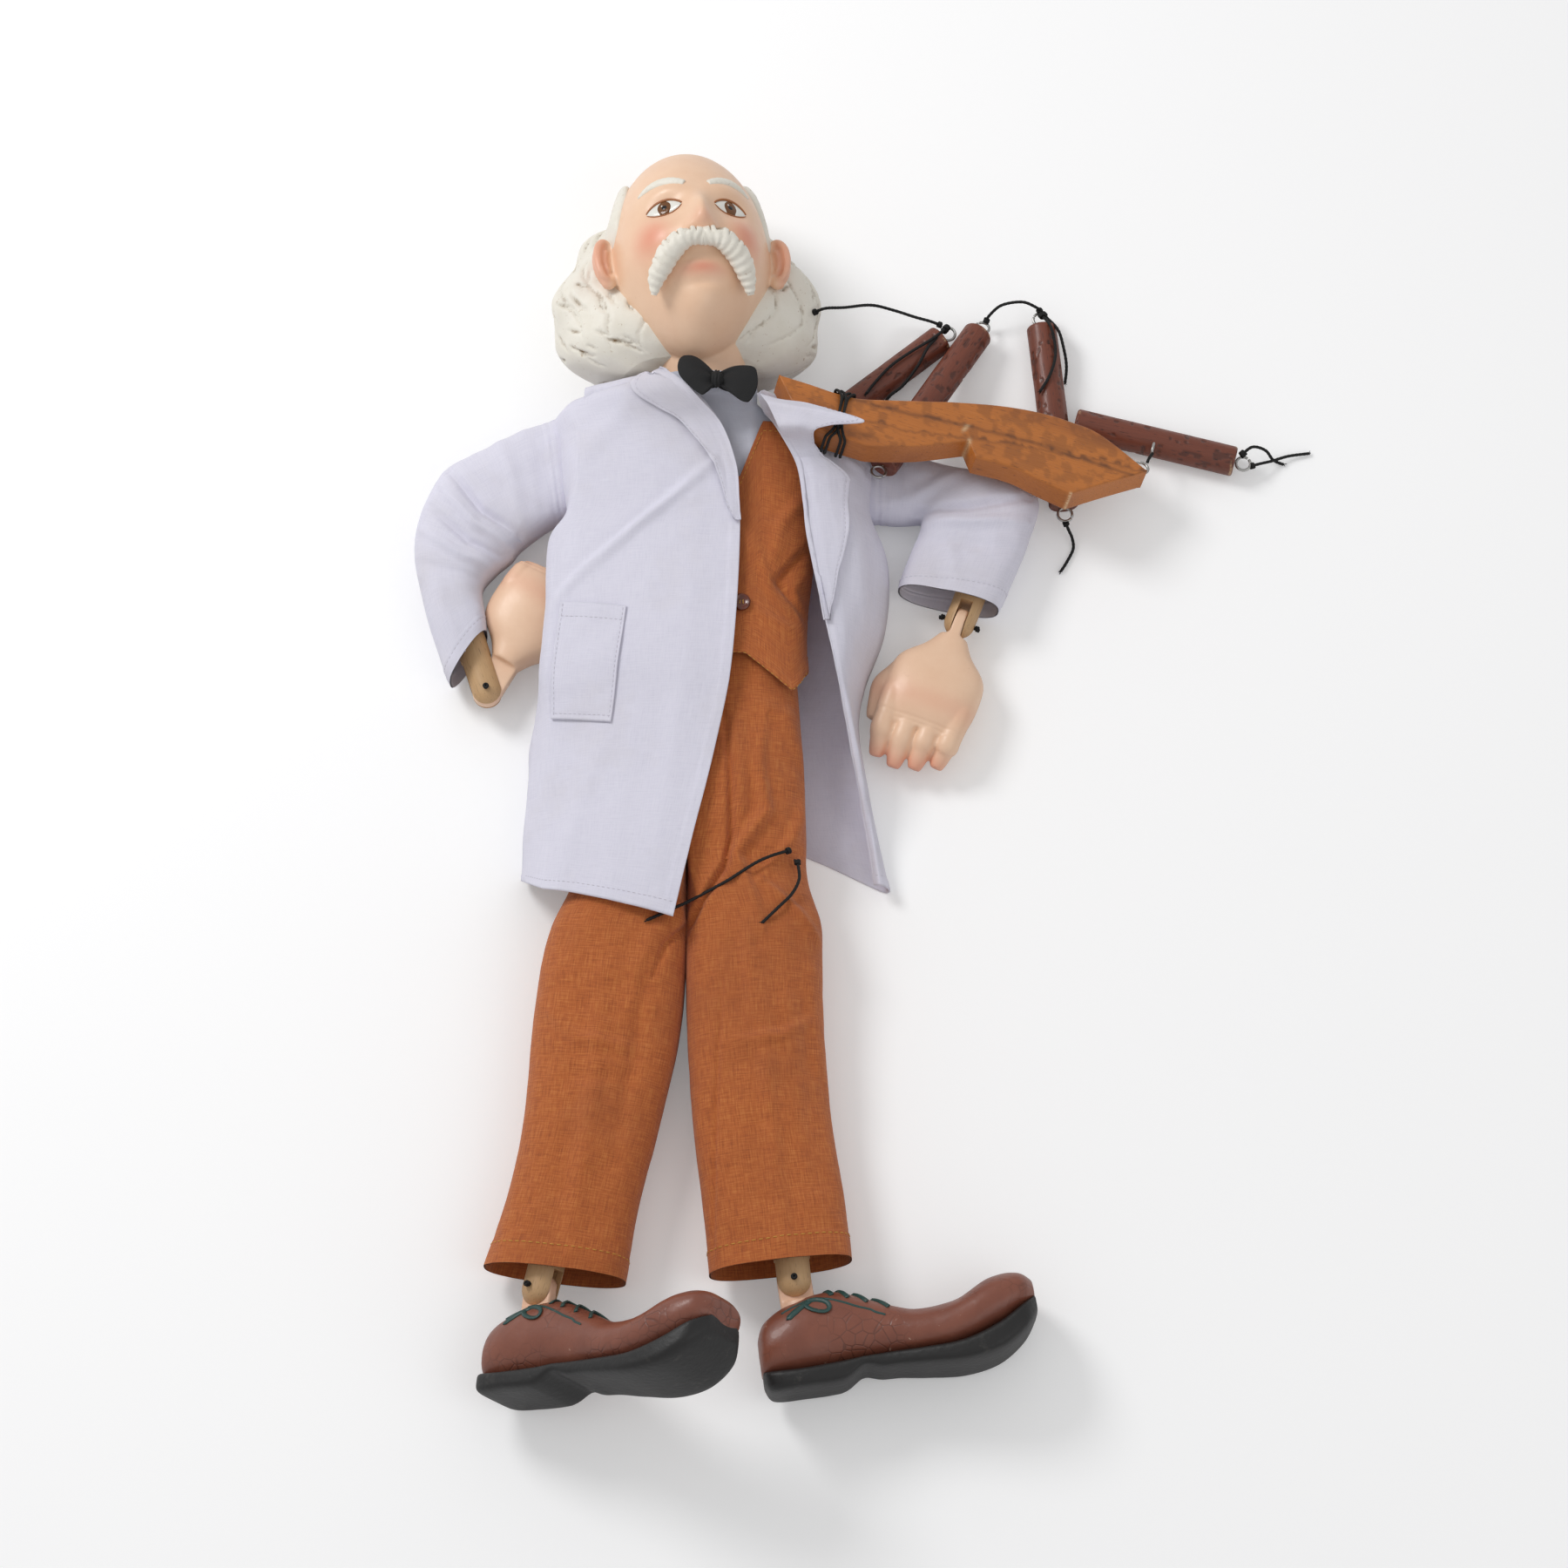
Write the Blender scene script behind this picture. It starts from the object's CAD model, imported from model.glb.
"""A string marionette lying on its back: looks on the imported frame.

Shapes are worked out in millimetres, in the frame of the part, and become metres in mesh_object().
"""
import bmesh
import bpy
import numpy as np
from math import cos, sin, radians, pi, tau, atan2, hypot
from mathutils import Matrix, Vector
from mathutils.bvhtree import BVHTree


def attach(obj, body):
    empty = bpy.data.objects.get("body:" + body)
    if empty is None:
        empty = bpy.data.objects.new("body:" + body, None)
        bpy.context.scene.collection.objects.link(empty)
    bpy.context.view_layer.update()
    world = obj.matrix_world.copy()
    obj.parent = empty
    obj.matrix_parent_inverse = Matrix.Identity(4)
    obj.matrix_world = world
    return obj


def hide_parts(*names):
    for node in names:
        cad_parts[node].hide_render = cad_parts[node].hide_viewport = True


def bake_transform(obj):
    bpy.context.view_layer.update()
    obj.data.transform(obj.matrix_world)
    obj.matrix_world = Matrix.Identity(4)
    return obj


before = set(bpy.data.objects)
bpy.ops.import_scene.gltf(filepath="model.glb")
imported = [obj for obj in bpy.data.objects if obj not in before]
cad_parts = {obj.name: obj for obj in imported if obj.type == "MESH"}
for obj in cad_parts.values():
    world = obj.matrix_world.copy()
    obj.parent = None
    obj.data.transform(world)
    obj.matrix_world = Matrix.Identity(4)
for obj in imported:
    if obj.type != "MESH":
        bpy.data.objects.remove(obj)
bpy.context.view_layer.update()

MM = 0.001
UP = np.array([0, 0, 1.0])
CLOTH, TUBE_CLOTH = 1.0, 0.95     # thickness of a layer of cloth, mm
CAMERA_TARGET = Vector((0.0425, -0.0957, 0.0))
CAMERA_DISTANCE = 2.4
CAMERA_ELEVATION = radians(70)


# Camera

def linked(name, data):
    """A new object of the scene with the given mesh, light or camera."""
    obj = bpy.data.objects.new(name, data)
    bpy.context.collection.objects.link(obj)
    return obj


def add_camera():
    data = bpy.data.cameras.new("camera")
    data.lens = 96
    data.sensor_width = 36
    data.clip_end = 20
    camera = linked("camera", data)
    away = Vector((0, -cos(CAMERA_ELEVATION), sin(CAMERA_ELEVATION)))
    camera.location = CAMERA_TARGET + CAMERA_DISTANCE * away
    camera.rotation_euler = (-away).to_track_quat("-Z", "Y").to_euler()
    bpy.context.scene.camera = camera


add_camera()


# Numbers: smooth noise and interpolation

def lattice_noise(points, cell, seed):
    """Value noise in [-1, 1]: random values on a cubic lattice of the given cell (mm), eased between."""
    table = np.random.default_rng(seed).uniform(-1, 1, 4096)
    q = np.asarray(points, float) / cell
    low = np.floor(q).astype(np.int64)
    t = q - low
    t = t * t * (3 - 2 * t)
    total = np.zeros(q.shape[:-1])
    for corner in range(8):
        step = np.array([corner & 1, corner >> 1 & 1, corner >> 2 & 1])
        at = low + step
        key = (at[..., 0] * 73856093 ^ at[..., 1] * 19349663 ^ at[..., 2] * 83492791) & 4095
        weight = np.prod(np.where(step, t, 1 - t), axis=-1)
        total += weight * table[key]
    return total


def layered_noise(points, cell, seed, layers=3):
    """A sum of lattice noises whose cell and weight halve at each layer."""
    return sum(0.5 ** k * lattice_noise(points, cell * 0.5 ** k, seed + k) for k in range(layers))


def bell(value, width):
    """exp(-(value / width)^2)"""
    return np.exp(-(np.asarray(value) / width) ** 2)


def ease(value, low, high):
    """Smooth step from 0 at low to 1 at high."""
    t = np.clip((np.asarray(value, float) - low) / (high - low), 0, 1)
    return t * t * (3 - 2 * t)


def at_places(keys, place):
    """Catmull-Rom values at any places counted in the keys' own numbering."""
    keys, place = np.asarray(keys, float), np.asarray(place, float)
    k = np.clip(place.astype(int), 0, len(keys) - 2)
    t = (place - k).reshape((-1,) + (1,) * (keys.ndim - 1))
    p, q, r, s = (keys[np.clip(k + n, 0, len(keys) - 1)] for n in (-1, 0, 1, 2))
    m, n = (r - p) / 2, (s - q) / 2
    return (2 * t**3 - 3 * t**2 + 1) * q + (t**3 - 2 * t**2 + t) * m + (3 * t**2 - 2 * t**3) * r + (t**3 - t**2) * n


def spline(keys, count):
    """Points on a Catmull-Rom curve through the keys, evenly spaced in the keys' own numbering."""
    return at_places(keys, np.linspace(0, len(keys) - 1, count))


def patch(keys, rows, columns):
    """A grid over a table of keys, splined down its rows and then along them."""
    return at_places(at_places(keys, rows).transpose(1, 0, 2), columns).transpose(1, 0, 2)


def squared(angle, power):
    """Cosine and sine of a superellipse: sign(c) |c|^(2 / power)."""
    return [np.sign(w) * np.abs(w) ** (2 / power) for w in (np.cos(angle), np.sin(angle))]


def lengths(line):
    """Arc length from the start to each point of a line."""
    return np.concatenate([[0], np.cumsum(np.linalg.norm(np.diff(line, axis=0), axis=1))])


def sampled(line, run, at):
    """Points of a line at the given arc lengths."""
    return np.stack([np.interp(at, run, line[:, axis]) for axis in range(3)], axis=1)


def resampled(points, step):
    """The same line with points an equal arc length apart, about step each."""
    points = np.asarray(points, float)
    run = lengths(points)
    return sampled(points, run, np.linspace(0, run[-1], max(2, round(run[-1] / step) + 1)))


# Meshes

def mesh_object(name, points, faces, material, uv=None):
    """An object from points in mm and quads or triangles; uv holds one pair of mm for each point."""
    mesh = bpy.data.meshes.new(name)
    mesh.from_pydata((np.asarray(points) * MM).tolist(), [], faces if isinstance(faces, list) else faces.tolist())
    if uv is not None:
        corner = np.empty(len(mesh.loops), dtype=np.int32)
        mesh.loops.foreach_get("vertex_index", corner)
        layer = mesh.uv_layers.new(name="UVMap")
        layer.data.foreach_set("uv", (np.asarray(uv, float)[corner] * MM).ravel().astype(np.float32))
    solid = bmesh.new()
    solid.from_mesh(mesh)
    bmesh.ops.recalc_face_normals(solid, faces=solid.faces)
    solid.to_mesh(mesh)
    solid.free()
    mesh.update()
    mesh.shade_smooth()
    if material:
        mesh.materials.append(material)
    return linked(name, mesh)


def grid_quads(rows, columns, closed=False):
    """Quads between neighbouring points of a grid that is stored row by row."""
    i = np.arange(rows - 1)[:, None]
    j = np.arange(columns if closed else columns - 1)[None, :]
    k = (j + 1) % columns
    a, b = i * columns + j, i * columns + k
    return np.stack([a, a + columns, b + columns, b], axis=-1).reshape(-1, 4)


def grid_normals(grid, closed=False):
    """Unit normals of a grid of points, from differences along its columns and rows."""
    if closed:
        along = np.roll(grid, -1, axis=1) - np.roll(grid, 1, axis=1)
    else:
        along = np.gradient(grid, axis=1)
    normal = np.cross(along, np.gradient(grid, axis=0))
    return normal / np.maximum(np.linalg.norm(normal, axis=-1, keepdims=True), 1e-9)


def grid_uv(grid):
    """Arc lengths of a grid in mm, as means: u along its rows, v down its columns."""
    across = np.linalg.norm(np.diff(grid, axis=1), axis=-1).mean(axis=0)
    down = np.linalg.norm(np.diff(grid, axis=0), axis=-1).mean(axis=1)
    u = np.concatenate([[0], np.cumsum(across)])
    v = np.concatenate([[0], np.cumsum(down)])
    return np.stack(np.broadcast_arrays(u[None, :], v[:, None]), axis=-1)


def front_normals(grid, row, column, closed=False, side=(0, 0, 1)):
    """Normals of a grid, turned so that the one at a row and column looks to the given side."""
    normal = grid_normals(grid, closed)
    return -normal if normal[row, column] @ side < 0 else normal


def frames_along(path):
    """Two unit cross directions along a line, carried on without twist."""
    tangent = np.gradient(path, axis=0)
    tangent /= np.linalg.norm(tangent, axis=1, keepdims=True)
    side = np.zeros_like(path)
    guess = np.array([0.0, 0, 1]) if abs(tangent[0][2]) < 0.9 else np.array([1.0, 0, 0])
    for n, t in enumerate(tangent):
        guess = guess - guess @ t * t
        guess /= np.linalg.norm(guess)
        side[n] = guess
    return side, np.cross(tangent, side)


def tube_points(path, radii, sides=12, flat=1.0, twist=0.0, ridge=0.0):
    """Rings round a path: radius r (1 + ridge |cos(a + twist * length)|), squeezed by flat along one direction."""
    side, across = frames_along(path)
    angle = np.arange(sides) / sides * tau
    swell = 1 + ridge * np.abs(np.cos(angle[None, :] + twist * lengths(path)[:, None]))
    r = np.broadcast_to(np.asarray(radii, float).reshape(-1, 1), (len(path), 1)) * swell
    ring = side[:, None] * (r * np.cos(angle))[..., None] * flat + across[:, None] * (r * np.sin(angle))[..., None]
    return path[:, None] + ring


def capped(rings):
    """Points and faces of a solid over closed rings, with a fan at both ends."""
    rows, columns = rings.shape[:2]
    points = np.concatenate([rings.reshape(-1, 3), [rings[0].mean(axis=0), rings[-1].mean(axis=0)]])
    j = np.arange(columns)
    k = (j + 1) % columns
    end, foot = rows * columns, (rows - 1) * columns
    faces = grid_quads(rows, columns, True).tolist()
    faces += np.stack([k, j, np.full(columns, end)], axis=1).tolist()
    faces += np.stack([foot + j, foot + k, np.full(columns, end + 1)], axis=1).tolist()
    return points, faces


def ball_points(radii, centre, turn=None, rows=20, columns=28):
    """Rings of an ellipsoid: centre + turn (rx sin p cos a, ry sin p sin a, rz cos p)."""
    p = np.linspace(0.04, pi - 0.04, rows)[:, None]
    a = np.arange(columns)[None, :] / columns * tau
    unit = np.stack([np.sin(p) * np.cos(a), np.sin(p) * np.sin(a), np.cos(p) + 0 * a], axis=-1)
    points = unit * np.asarray(radii, float)
    if turn is not None:
        points = points @ np.array(turn.to_3x3()).T
    return points + np.asarray(centre, float)


def joined_solid(name, solids, voxel, smoothing, material):
    """One skin over overlapping closed solids: voxel remesh at the given cell (mm), then smoothing."""
    rough = merged(name + "_rough", solids, None)
    remesh = rough.modifiers.new("remesh", "REMESH")
    remesh.mode = "VOXEL"
    remesh.voxel_size = voxel * MM
    blur = rough.modifiers.new("blur", "SMOOTH")
    blur.iterations = smoothing
    blur.factor = 0.5
    return applied(rough, name, material)


def applied(rough, name, material):
    """A new object with the modifiers of the rough one worked in; the rough one goes."""
    graph = bpy.context.evaluated_depsgraph_get()
    mesh = bpy.data.meshes.new_from_object(rough.evaluated_get(graph))
    old = rough.data
    bpy.data.objects.remove(rough)
    bpy.data.meshes.remove(old)
    mesh.name = name
    mesh.shade_smooth()
    mesh.materials.clear()
    mesh.materials.append(material)
    return linked(name, mesh)


def read_vectors(obj, name):
    values = np.empty(len(obj.data.vertices) * 3)
    obj.data.vertices.foreach_get(name, values)
    return values.reshape(-1, 3)


def points_of(obj):
    """The object's mesh points in mm."""
    return read_vectors(obj, "co") / MM


def set_points(obj, points):
    obj.data.vertices.foreach_set("co", (np.asarray(points) * MM).ravel())
    obj.data.update()


def surface_tree(obj):
    """A tree over the object's mesh, in mm, for nearest points and rays."""
    return BVHTree.FromPolygons([tuple(p) for p in points_of(obj)], [list(f.vertices) for f in obj.data.polygons])


def paint_attribute(obj, name, values):
    """A number for each point, for its material to read."""
    attribute = obj.data.attributes.new(name, "FLOAT", "POINT")
    attribute.data.foreach_set("value", np.asarray(values, np.float32).ravel())


def merged(name, solids, material):
    """One object from several solids that stay apart, such as a row of stitches."""
    points, faces, start = [], [], 0
    for p, f in solids:
        points.append(np.asarray(p))
        faces += [[v + start for v in face] for face in f]
        start += len(p)
    return mesh_object(name, np.concatenate(points), faces, material)


# Materials

def srgb(r, g, b):
    """A screen colour, 0 to 255, as linear light."""
    def linear(c):
        c /= 255
        return c / 12.92 if c <= 0.04045 else ((c + 0.055) / 1.055) ** 2.4
    return (linear(r), linear(g), linear(b), 1.0)


class Nodes:
    """Short calls for building the node tree of a material or a node group."""

    def __init__(self, tree):
        self.tree = tree

    def add(self, kind, inputs=None, **settings):
        node = self.tree.nodes.new(kind)
        for key, value in settings.items():
            setattr(node, key, value)
        for key, value in (inputs or {}).items():
            self.put(node.inputs[key], value)
        return node

    def put(self, socket, value):
        if isinstance(value, bpy.types.NodeSocket):
            self.tree.links.new(value, socket)
        else:
            socket.default_value = value

    def math(self, operation, a, b=0.0, clamp=False):
        return self.add("ShaderNodeMath", {0: a, 1: b}, operation=operation, use_clamp=clamp).outputs[0]

    def noise(self, vector, scale, detail=3.0, roughness=0.5):
        inputs = {"Vector": vector, "Scale": scale, "Detail": detail, "Roughness": roughness}
        return self.add("ShaderNodeTexNoise", inputs).outputs[0]

    def stretched(self, vector, x, y, z):
        return self.add("ShaderNodeVectorMath", {0: vector, 1: (x, y, z)}, operation="MULTIPLY").outputs[0]

    def band(self, value, low, high):
        """0 at low to 1 at high, clamped."""
        return self.add("ShaderNodeMapRange", {"Value": value, "From Min": low, "From Max": high}).outputs[0]

    def mix(self, share, a, b):
        return self.add("ShaderNodeMix", {0: share, 6: a, 7: b}, data_type="RGBA").outputs[2]


def weave_group():
    """Plain weave of uneven threads; Vector holds cloth coordinates in metres."""
    tree = bpy.data.node_groups.new("plain weave", "ShaderNodeTree")
    for side, socket, kind in (
            ("INPUT", "Vector", "Vector"), ("INPUT", "Threads per metre", "Float"), ("INPUT", "Slub", "Float"),
            ("INPUT", "Base", "Color"), ("INPUT", "Dark", "Color"), ("INPUT", "Light", "Color"),
            ("OUTPUT", "Color", "Color"), ("OUTPUT", "Height", "Float")):
        tree.interface.new_socket(name=socket, in_out=side, socket_type="NodeSocket" + kind)
    n = Nodes(tree)
    given, result = n.add("NodeGroupInput"), n.add("NodeGroupOutput")
    vector, pitch = given.outputs["Vector"], given.outputs["Threads per metre"]
    split = n.add("ShaderNodeSeparateXYZ", {0: vector})
    waves = []
    for axis in (0, 1):
        angle = n.math("MULTIPLY", n.math("MULTIPLY", split.outputs[axis], pitch), tau)
        waves.append(n.math("SINE", angle))
    height = n.math("MULTIPLY", waves[0], waves[1])
    weft = n.noise(n.stretched(vector, 90, 1500, 1), 1.0, 2.0, 0.75)
    warp = n.noise(n.stretched(vector, 1500, 80, 1), 1.0, 2.0, 0.75)
    slub = n.math("MULTIPLY", n.math("ADD", n.math("ADD", weft, warp), -1.0), given.outputs["Slub"])
    dark = n.math("MAXIMUM", n.math("MULTIPLY", slub, -3.2), 0.0, True)
    light = n.math("MAXIMUM", n.math("MULTIPLY", slub, 3.2), 0.0, True)
    colour = n.mix(dark, given.outputs["Base"], given.outputs["Dark"])
    colour = n.mix(light, colour, given.outputs["Light"])
    n.put(result.inputs["Color"], colour)
    n.put(result.inputs["Height"], n.math("ADD", n.math("MULTIPLY", height, 0.35), slub))
    return tree


WEAVE = weave_group()


class Material(Nodes):
    """A new material with calls for its node tree; its colours are linear."""

    def __init__(self, name, roughness, **shader):
        self.material = bpy.data.materials.new(name)
        self.material.use_nodes = True
        super().__init__(self.material.node_tree)
        self.bsdf = self.tree.nodes["Principled BSDF"]
        for key, value in {"Roughness": roughness, **shader}.items():
            self.bsdf.inputs[key.replace("_", " ")].default_value = value

    def place(self, kind="Object"):
        return self.add("ShaderNodeTexCoord").outputs[kind]

    def attribute(self, name, output="Fac"):
        return self.add("ShaderNodeAttribute", attribute_name=name).outputs[output]

    def done(self, colour, height=None, distance=0.0, strength=1.0, roughness=None):
        """The material, with its colour, its bump (distance in metres) and its roughness wired in."""
        self.put(self.bsdf.inputs["Base Color"], colour)
        if roughness is not None:
            self.put(self.bsdf.inputs["Roughness"], roughness)
        if height is not None:
            bump = self.add("ShaderNodeBump", {"Height": height, "Distance": distance, "Strength": strength})
            self.put(self.bsdf.inputs["Normal"], bump.outputs[0])
        return self.material


def shaded(colour, share):
    """A colour with its three parts times a share."""
    return tuple(c * share for c in colour[:3]) + (1,)


def woven_material(name, base, dark, light, threads, slub, soil, soil_share, relief, spotted=False):
    """Woven cloth with soil in broad soft patches, and a few small dark spots where spotted; relief in metres."""
    n = Material(name, 0.86, Sheen_Weight=0.12, Sheen_Roughness=0.6)
    inputs = {"Threads per metre": threads, "Slub": slub, "Base": base, "Dark": dark, "Light": light}
    weave = n.add("ShaderNodeGroup", {"Vector": n.place("UV"), **inputs}, node_tree=WEAVE)
    place = n.place()
    patches = n.math("MULTIPLY", n.band(n.noise(place, 14, 4, 0.6), 0.5, 0.8), soil_share)
    colour = n.mix(patches, weave.outputs["Color"], soil)
    if spotted:
        spots = n.band(n.noise(n.stretched(place, 1.0, 0.5, 1.0), 26, 2, 0.4), 0.74, 0.78)
        colour = n.mix(n.math("MULTIPLY", spots, 0.5), colour, srgb(66, 42, 30))
    crumple = n.math("MULTIPLY", n.noise(place, 90, 3, 0.55), 6.0)
    return n.done(colour, n.math("ADD", weave.outputs["Height"], crumple), relief)


def black_cloth_material():
    n = Material("black cloth", 0.8, Sheen_Weight=0.04)
    grain = n.noise(n.place("UV"), 1800, 2, 0.6)
    return n.done(n.mix(grain, (0.002, 0.002, 0.0025, 1), (0.009, 0.009, 0.010, 1)), grain, 0.0002, 0.6)


def cord_material():
    """Twisted black cord: slanted strands along the tube's own coordinates."""
    n = Material("black cord", 0.75)
    split = n.add("ShaderNodeSeparateXYZ", {0: n.place("UV")})
    slant = n.math("ADD", n.math("MULTIPLY", split.outputs[0], 2200.0), n.math("MULTIPLY", split.outputs[1], 3600.0))
    strand = n.math("ABSOLUTE", n.math("SINE", slant))
    return n.done(n.mix(strand, (0.002, 0.002, 0.002, 1), (0.02, 0.02, 0.021, 1)), strand, 0.0002, 0.8)


def thread_material(name, colour):
    n = Material(name, 0.8)
    return n.done(n.mix(n.noise(n.place(), 900, 2), colour, shaded(colour, 0.8)))


def wood_material(name, pale, dark, ring, roughness, coat=0.0, pores=0.5):
    """Wood grain stretched along X of the grain attribute, with pores as short dashes."""
    n = Material(name, roughness, Coat_Weight=coat, Coat_Roughness=0.25)
    vector = n.attribute("grain", "Vector")
    bend = n.noise(n.stretched(vector, 6, 30, 30), 1.0, 2, 0.5)
    split = n.add("ShaderNodeSeparateXYZ", {0: vector})
    rings = n.math("ADD", n.math("MULTIPLY", split.outputs[1], ring), n.math("MULTIPLY", bend, 9.0))
    rings = n.math("ADD", rings, n.math("MULTIPLY", split.outputs[2], ring * 0.4))
    figure = n.math("ADD", n.math("MULTIPLY", n.math("SINE", rings), 0.5), 0.5)
    fibre = n.noise(n.stretched(vector, 60, 1400, 1400), 1.0, 3, 0.6)
    pore = n.band(n.noise(n.stretched(vector, 160, 1500, 1500), 1.0, 1, 0.5), 0.66, 0.74)
    cloud = n.noise(n.stretched(vector, 12, 40, 40), 1.0, 3, 0.5)
    share = n.math("ADD", n.math("MULTIPLY", figure, 0.45), n.math("MULTIPLY", cloud, 0.45))
    share = n.math("ADD", share, n.math("MULTIPLY", n.math("SUBTRACT", fibre, 0.5), 0.5), True)
    colour = n.mix(n.math("MULTIPLY", pore, pores), n.mix(share, pale, dark), shaded(dark, 0.35))
    colour = n.mix(n.attribute("stain"), colour, shaded(dark, 0.3))
    bare = n.math("MULTIPLY", n.attribute("bare"), n.band(fibre, 0.3, 0.6))
    colour = n.mix(bare, colour, srgb(224, 190, 146))
    return n.done(colour, n.math("SUBTRACT", fibre, pore), 0.0001, 0.7, n.band(fibre, -1.2 + roughness, 1.6))


def steel_material():
    n = Material("bright steel", 0.25, Metallic=1.0)
    smear = n.noise(n.place(), 500, 3)
    return n.done(n.mix(smear, (0.38, 0.37, 0.35, 1), (0.6, 0.6, 0.59, 1)), roughness=n.band(smear, -0.6, 2.4))


def button_material():
    n = Material("brown button", 0.22, Coat_Weight=0.5)
    return n.done(n.mix(n.noise(n.place(), 240, 4, 0.6), srgb(66, 20, 8), srgb(116, 50, 22)))


def skin_material():
    """Satin flesh paint over carved wood, rosier where the piece's blush attribute says so."""
    n = Material("painted skin", 0.42, Coat_Weight=0.15, Coat_Roughness=0.3)
    place = n.place()
    colour = n.mix(n.noise(place, 60, 4, 0.6), srgb(243, 208, 178), srgb(232, 190, 158))
    colour = n.mix(n.attribute("blush"), colour, srgb(226, 138, 112))
    dirt = n.band(n.noise(place, 160, 5, 0.7), 0.66, 0.84)
    colour = n.mix(n.math("MULTIPLY", dirt, 0.5), colour, srgb(176, 122, 90))
    return n.done(colour, n.noise(place, 420, 3, 0.6), 0.0002, 0.35, n.band(n.noise(place, 220, 3), -1.0, 2.6))


def hair_material():
    """Off-white paint with brown wiped into the grooves; groove is 1 in the deepest cuts."""
    n = Material("painted hair", 0.5)
    place = n.place()
    broken = n.math("MULTIPLY", n.attribute("groove"), n.band(n.noise(place, 150, 3, 0.7), 0.34, 0.62))
    colour = n.mix(n.noise(place, 90, 3), srgb(240, 236, 226), srgb(226, 220, 206))
    colour = n.mix(n.band(broken, 0.1, 0.75), colour, srgb(128, 96, 52))
    speck = n.band(n.noise(place, 340, 3, 0.6), 0.66, 0.74)
    colour = n.mix(n.math("MULTIPLY", speck, 0.5), colour, srgb(158, 122, 76))
    return n.done(colour, n.noise(place, 500, 4, 0.6), 0.0004, 0.5)


def shoe_material():
    """Brown paint with fine cracks, rubbed and chipped."""
    n = Material("shoe paint", 0.45, Coat_Weight=0.1)
    place = n.place()
    colour = n.mix(n.noise(place, 50, 4, 0.6), srgb(110, 60, 46), srgb(142, 84, 64))
    cells = n.add("ShaderNodeTexVoronoi", {"Vector": place, "Scale": 150.0}, feature="DISTANCE_TO_EDGE")
    crack = n.math("SUBTRACT", 1.0, n.band(cells.outputs["Distance"], 0.0, 0.07))
    crack = n.math("MULTIPLY", crack, n.band(n.noise(place, 22, 2), 0.5, 0.62))
    colour = n.mix(n.math("MULTIPLY", crack, 0.5), colour, srgb(60, 30, 24))
    chip = n.band(n.noise(place, 130, 5, 0.7), 0.68, 0.72)
    colour = n.mix(n.math("MULTIPLY", chip, 0.7), colour, srgb(196, 160, 140))
    height = n.math("SUBTRACT", n.noise(place, 260, 4), n.math("MULTIPLY", crack, 0.6))
    return n.done(colour, height, 0.0005, 0.5, n.band(n.noise(place, 70, 3), -0.6, 2.2))


def sole_material():
    n = Material("sole paint", 0.5)
    place = n.place()
    rub = n.math("MULTIPLY", n.band(n.noise(place, 90, 5, 0.7), 0.6, 0.8), 0.5)
    return n.done(n.mix(rub, srgb(24, 23, 23), srgb(84, 80, 76)), n.noise(place, 300, 4), 0.0006, 0.5)


def paint_material(name, colour, roughness=0.4, worn=0.0):
    """Plain brushed paint; worn shows through in small chips."""
    n = Material(name, roughness)
    place = n.place()
    mixed = n.mix(n.noise(place, 300, 3), colour, shaded(colour, 0.82))
    chip = n.math("MULTIPLY", n.band(n.noise(place, 240, 4, 0.6), 0.62, 0.68), worn)
    return n.done(n.mix(chip, mixed, srgb(150, 98, 78)), n.noise(place, 600, 3), 0.0002, 0.4)


COTTON = woven_material("white cotton", srgb(226, 224, 238), srgb(206, 204, 221), srgb(236, 234, 245),
                        3200, 0.34, srgb(196, 188, 184), 0.35, 0.00009)
SHIRT = woven_material("shirt cotton", srgb(214, 218, 232), srgb(196, 200, 216), srgb(230, 232, 242),
                       3600, 0.25, srgb(190, 186, 188), 0.3, 0.00007)
RUST = woven_material("rust cloth", srgb(186, 98, 40), srgb(138, 66, 26), srgb(208, 132, 66),
                      1900, 0.75, srgb(152, 80, 38), 0.5, 0.00014, True)
BLACK_CLOTH, CORD, STEEL, BUTTON = black_cloth_material(), cord_material(), steel_material(), button_material()
SKIN, HAIR, SHOE, SOLE = skin_material(), hair_material(), shoe_material(), sole_material()
DOWEL = wood_material("bare dowel", srgb(206, 170, 126), srgb(160, 118, 76), 60, 0.55)
BOARD = wood_material("stained board", srgb(196, 116, 40), srgb(134, 70, 22), 55, 0.42, 0.3, 0.6)
BAR = wood_material("stained bar", srgb(122, 60, 38), srgb(70, 30, 20), 60, 0.4, 0.25, 0.9)
WHITE_THREAD = thread_material("white thread", srgb(214, 210, 222))
GOLD_THREAD = thread_material("gold thread", srgb(214, 160, 74))
LACE = paint_material("lace paint", srgb(40, 74, 70), 0.45, 0.25)
EYE_WHITE = paint_material("eye white", srgb(240, 238, 230), 0.22)
EYE_BROWN = paint_material("eye brown", srgb(112, 70, 34), 0.18)
EYE_BLACK = paint_material("eye black", srgb(20, 16, 15), 0.15)
LID = paint_material("lid line", srgb(168, 104, 56), 0.4)


# Places of the joints, mm, as the part has them

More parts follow.
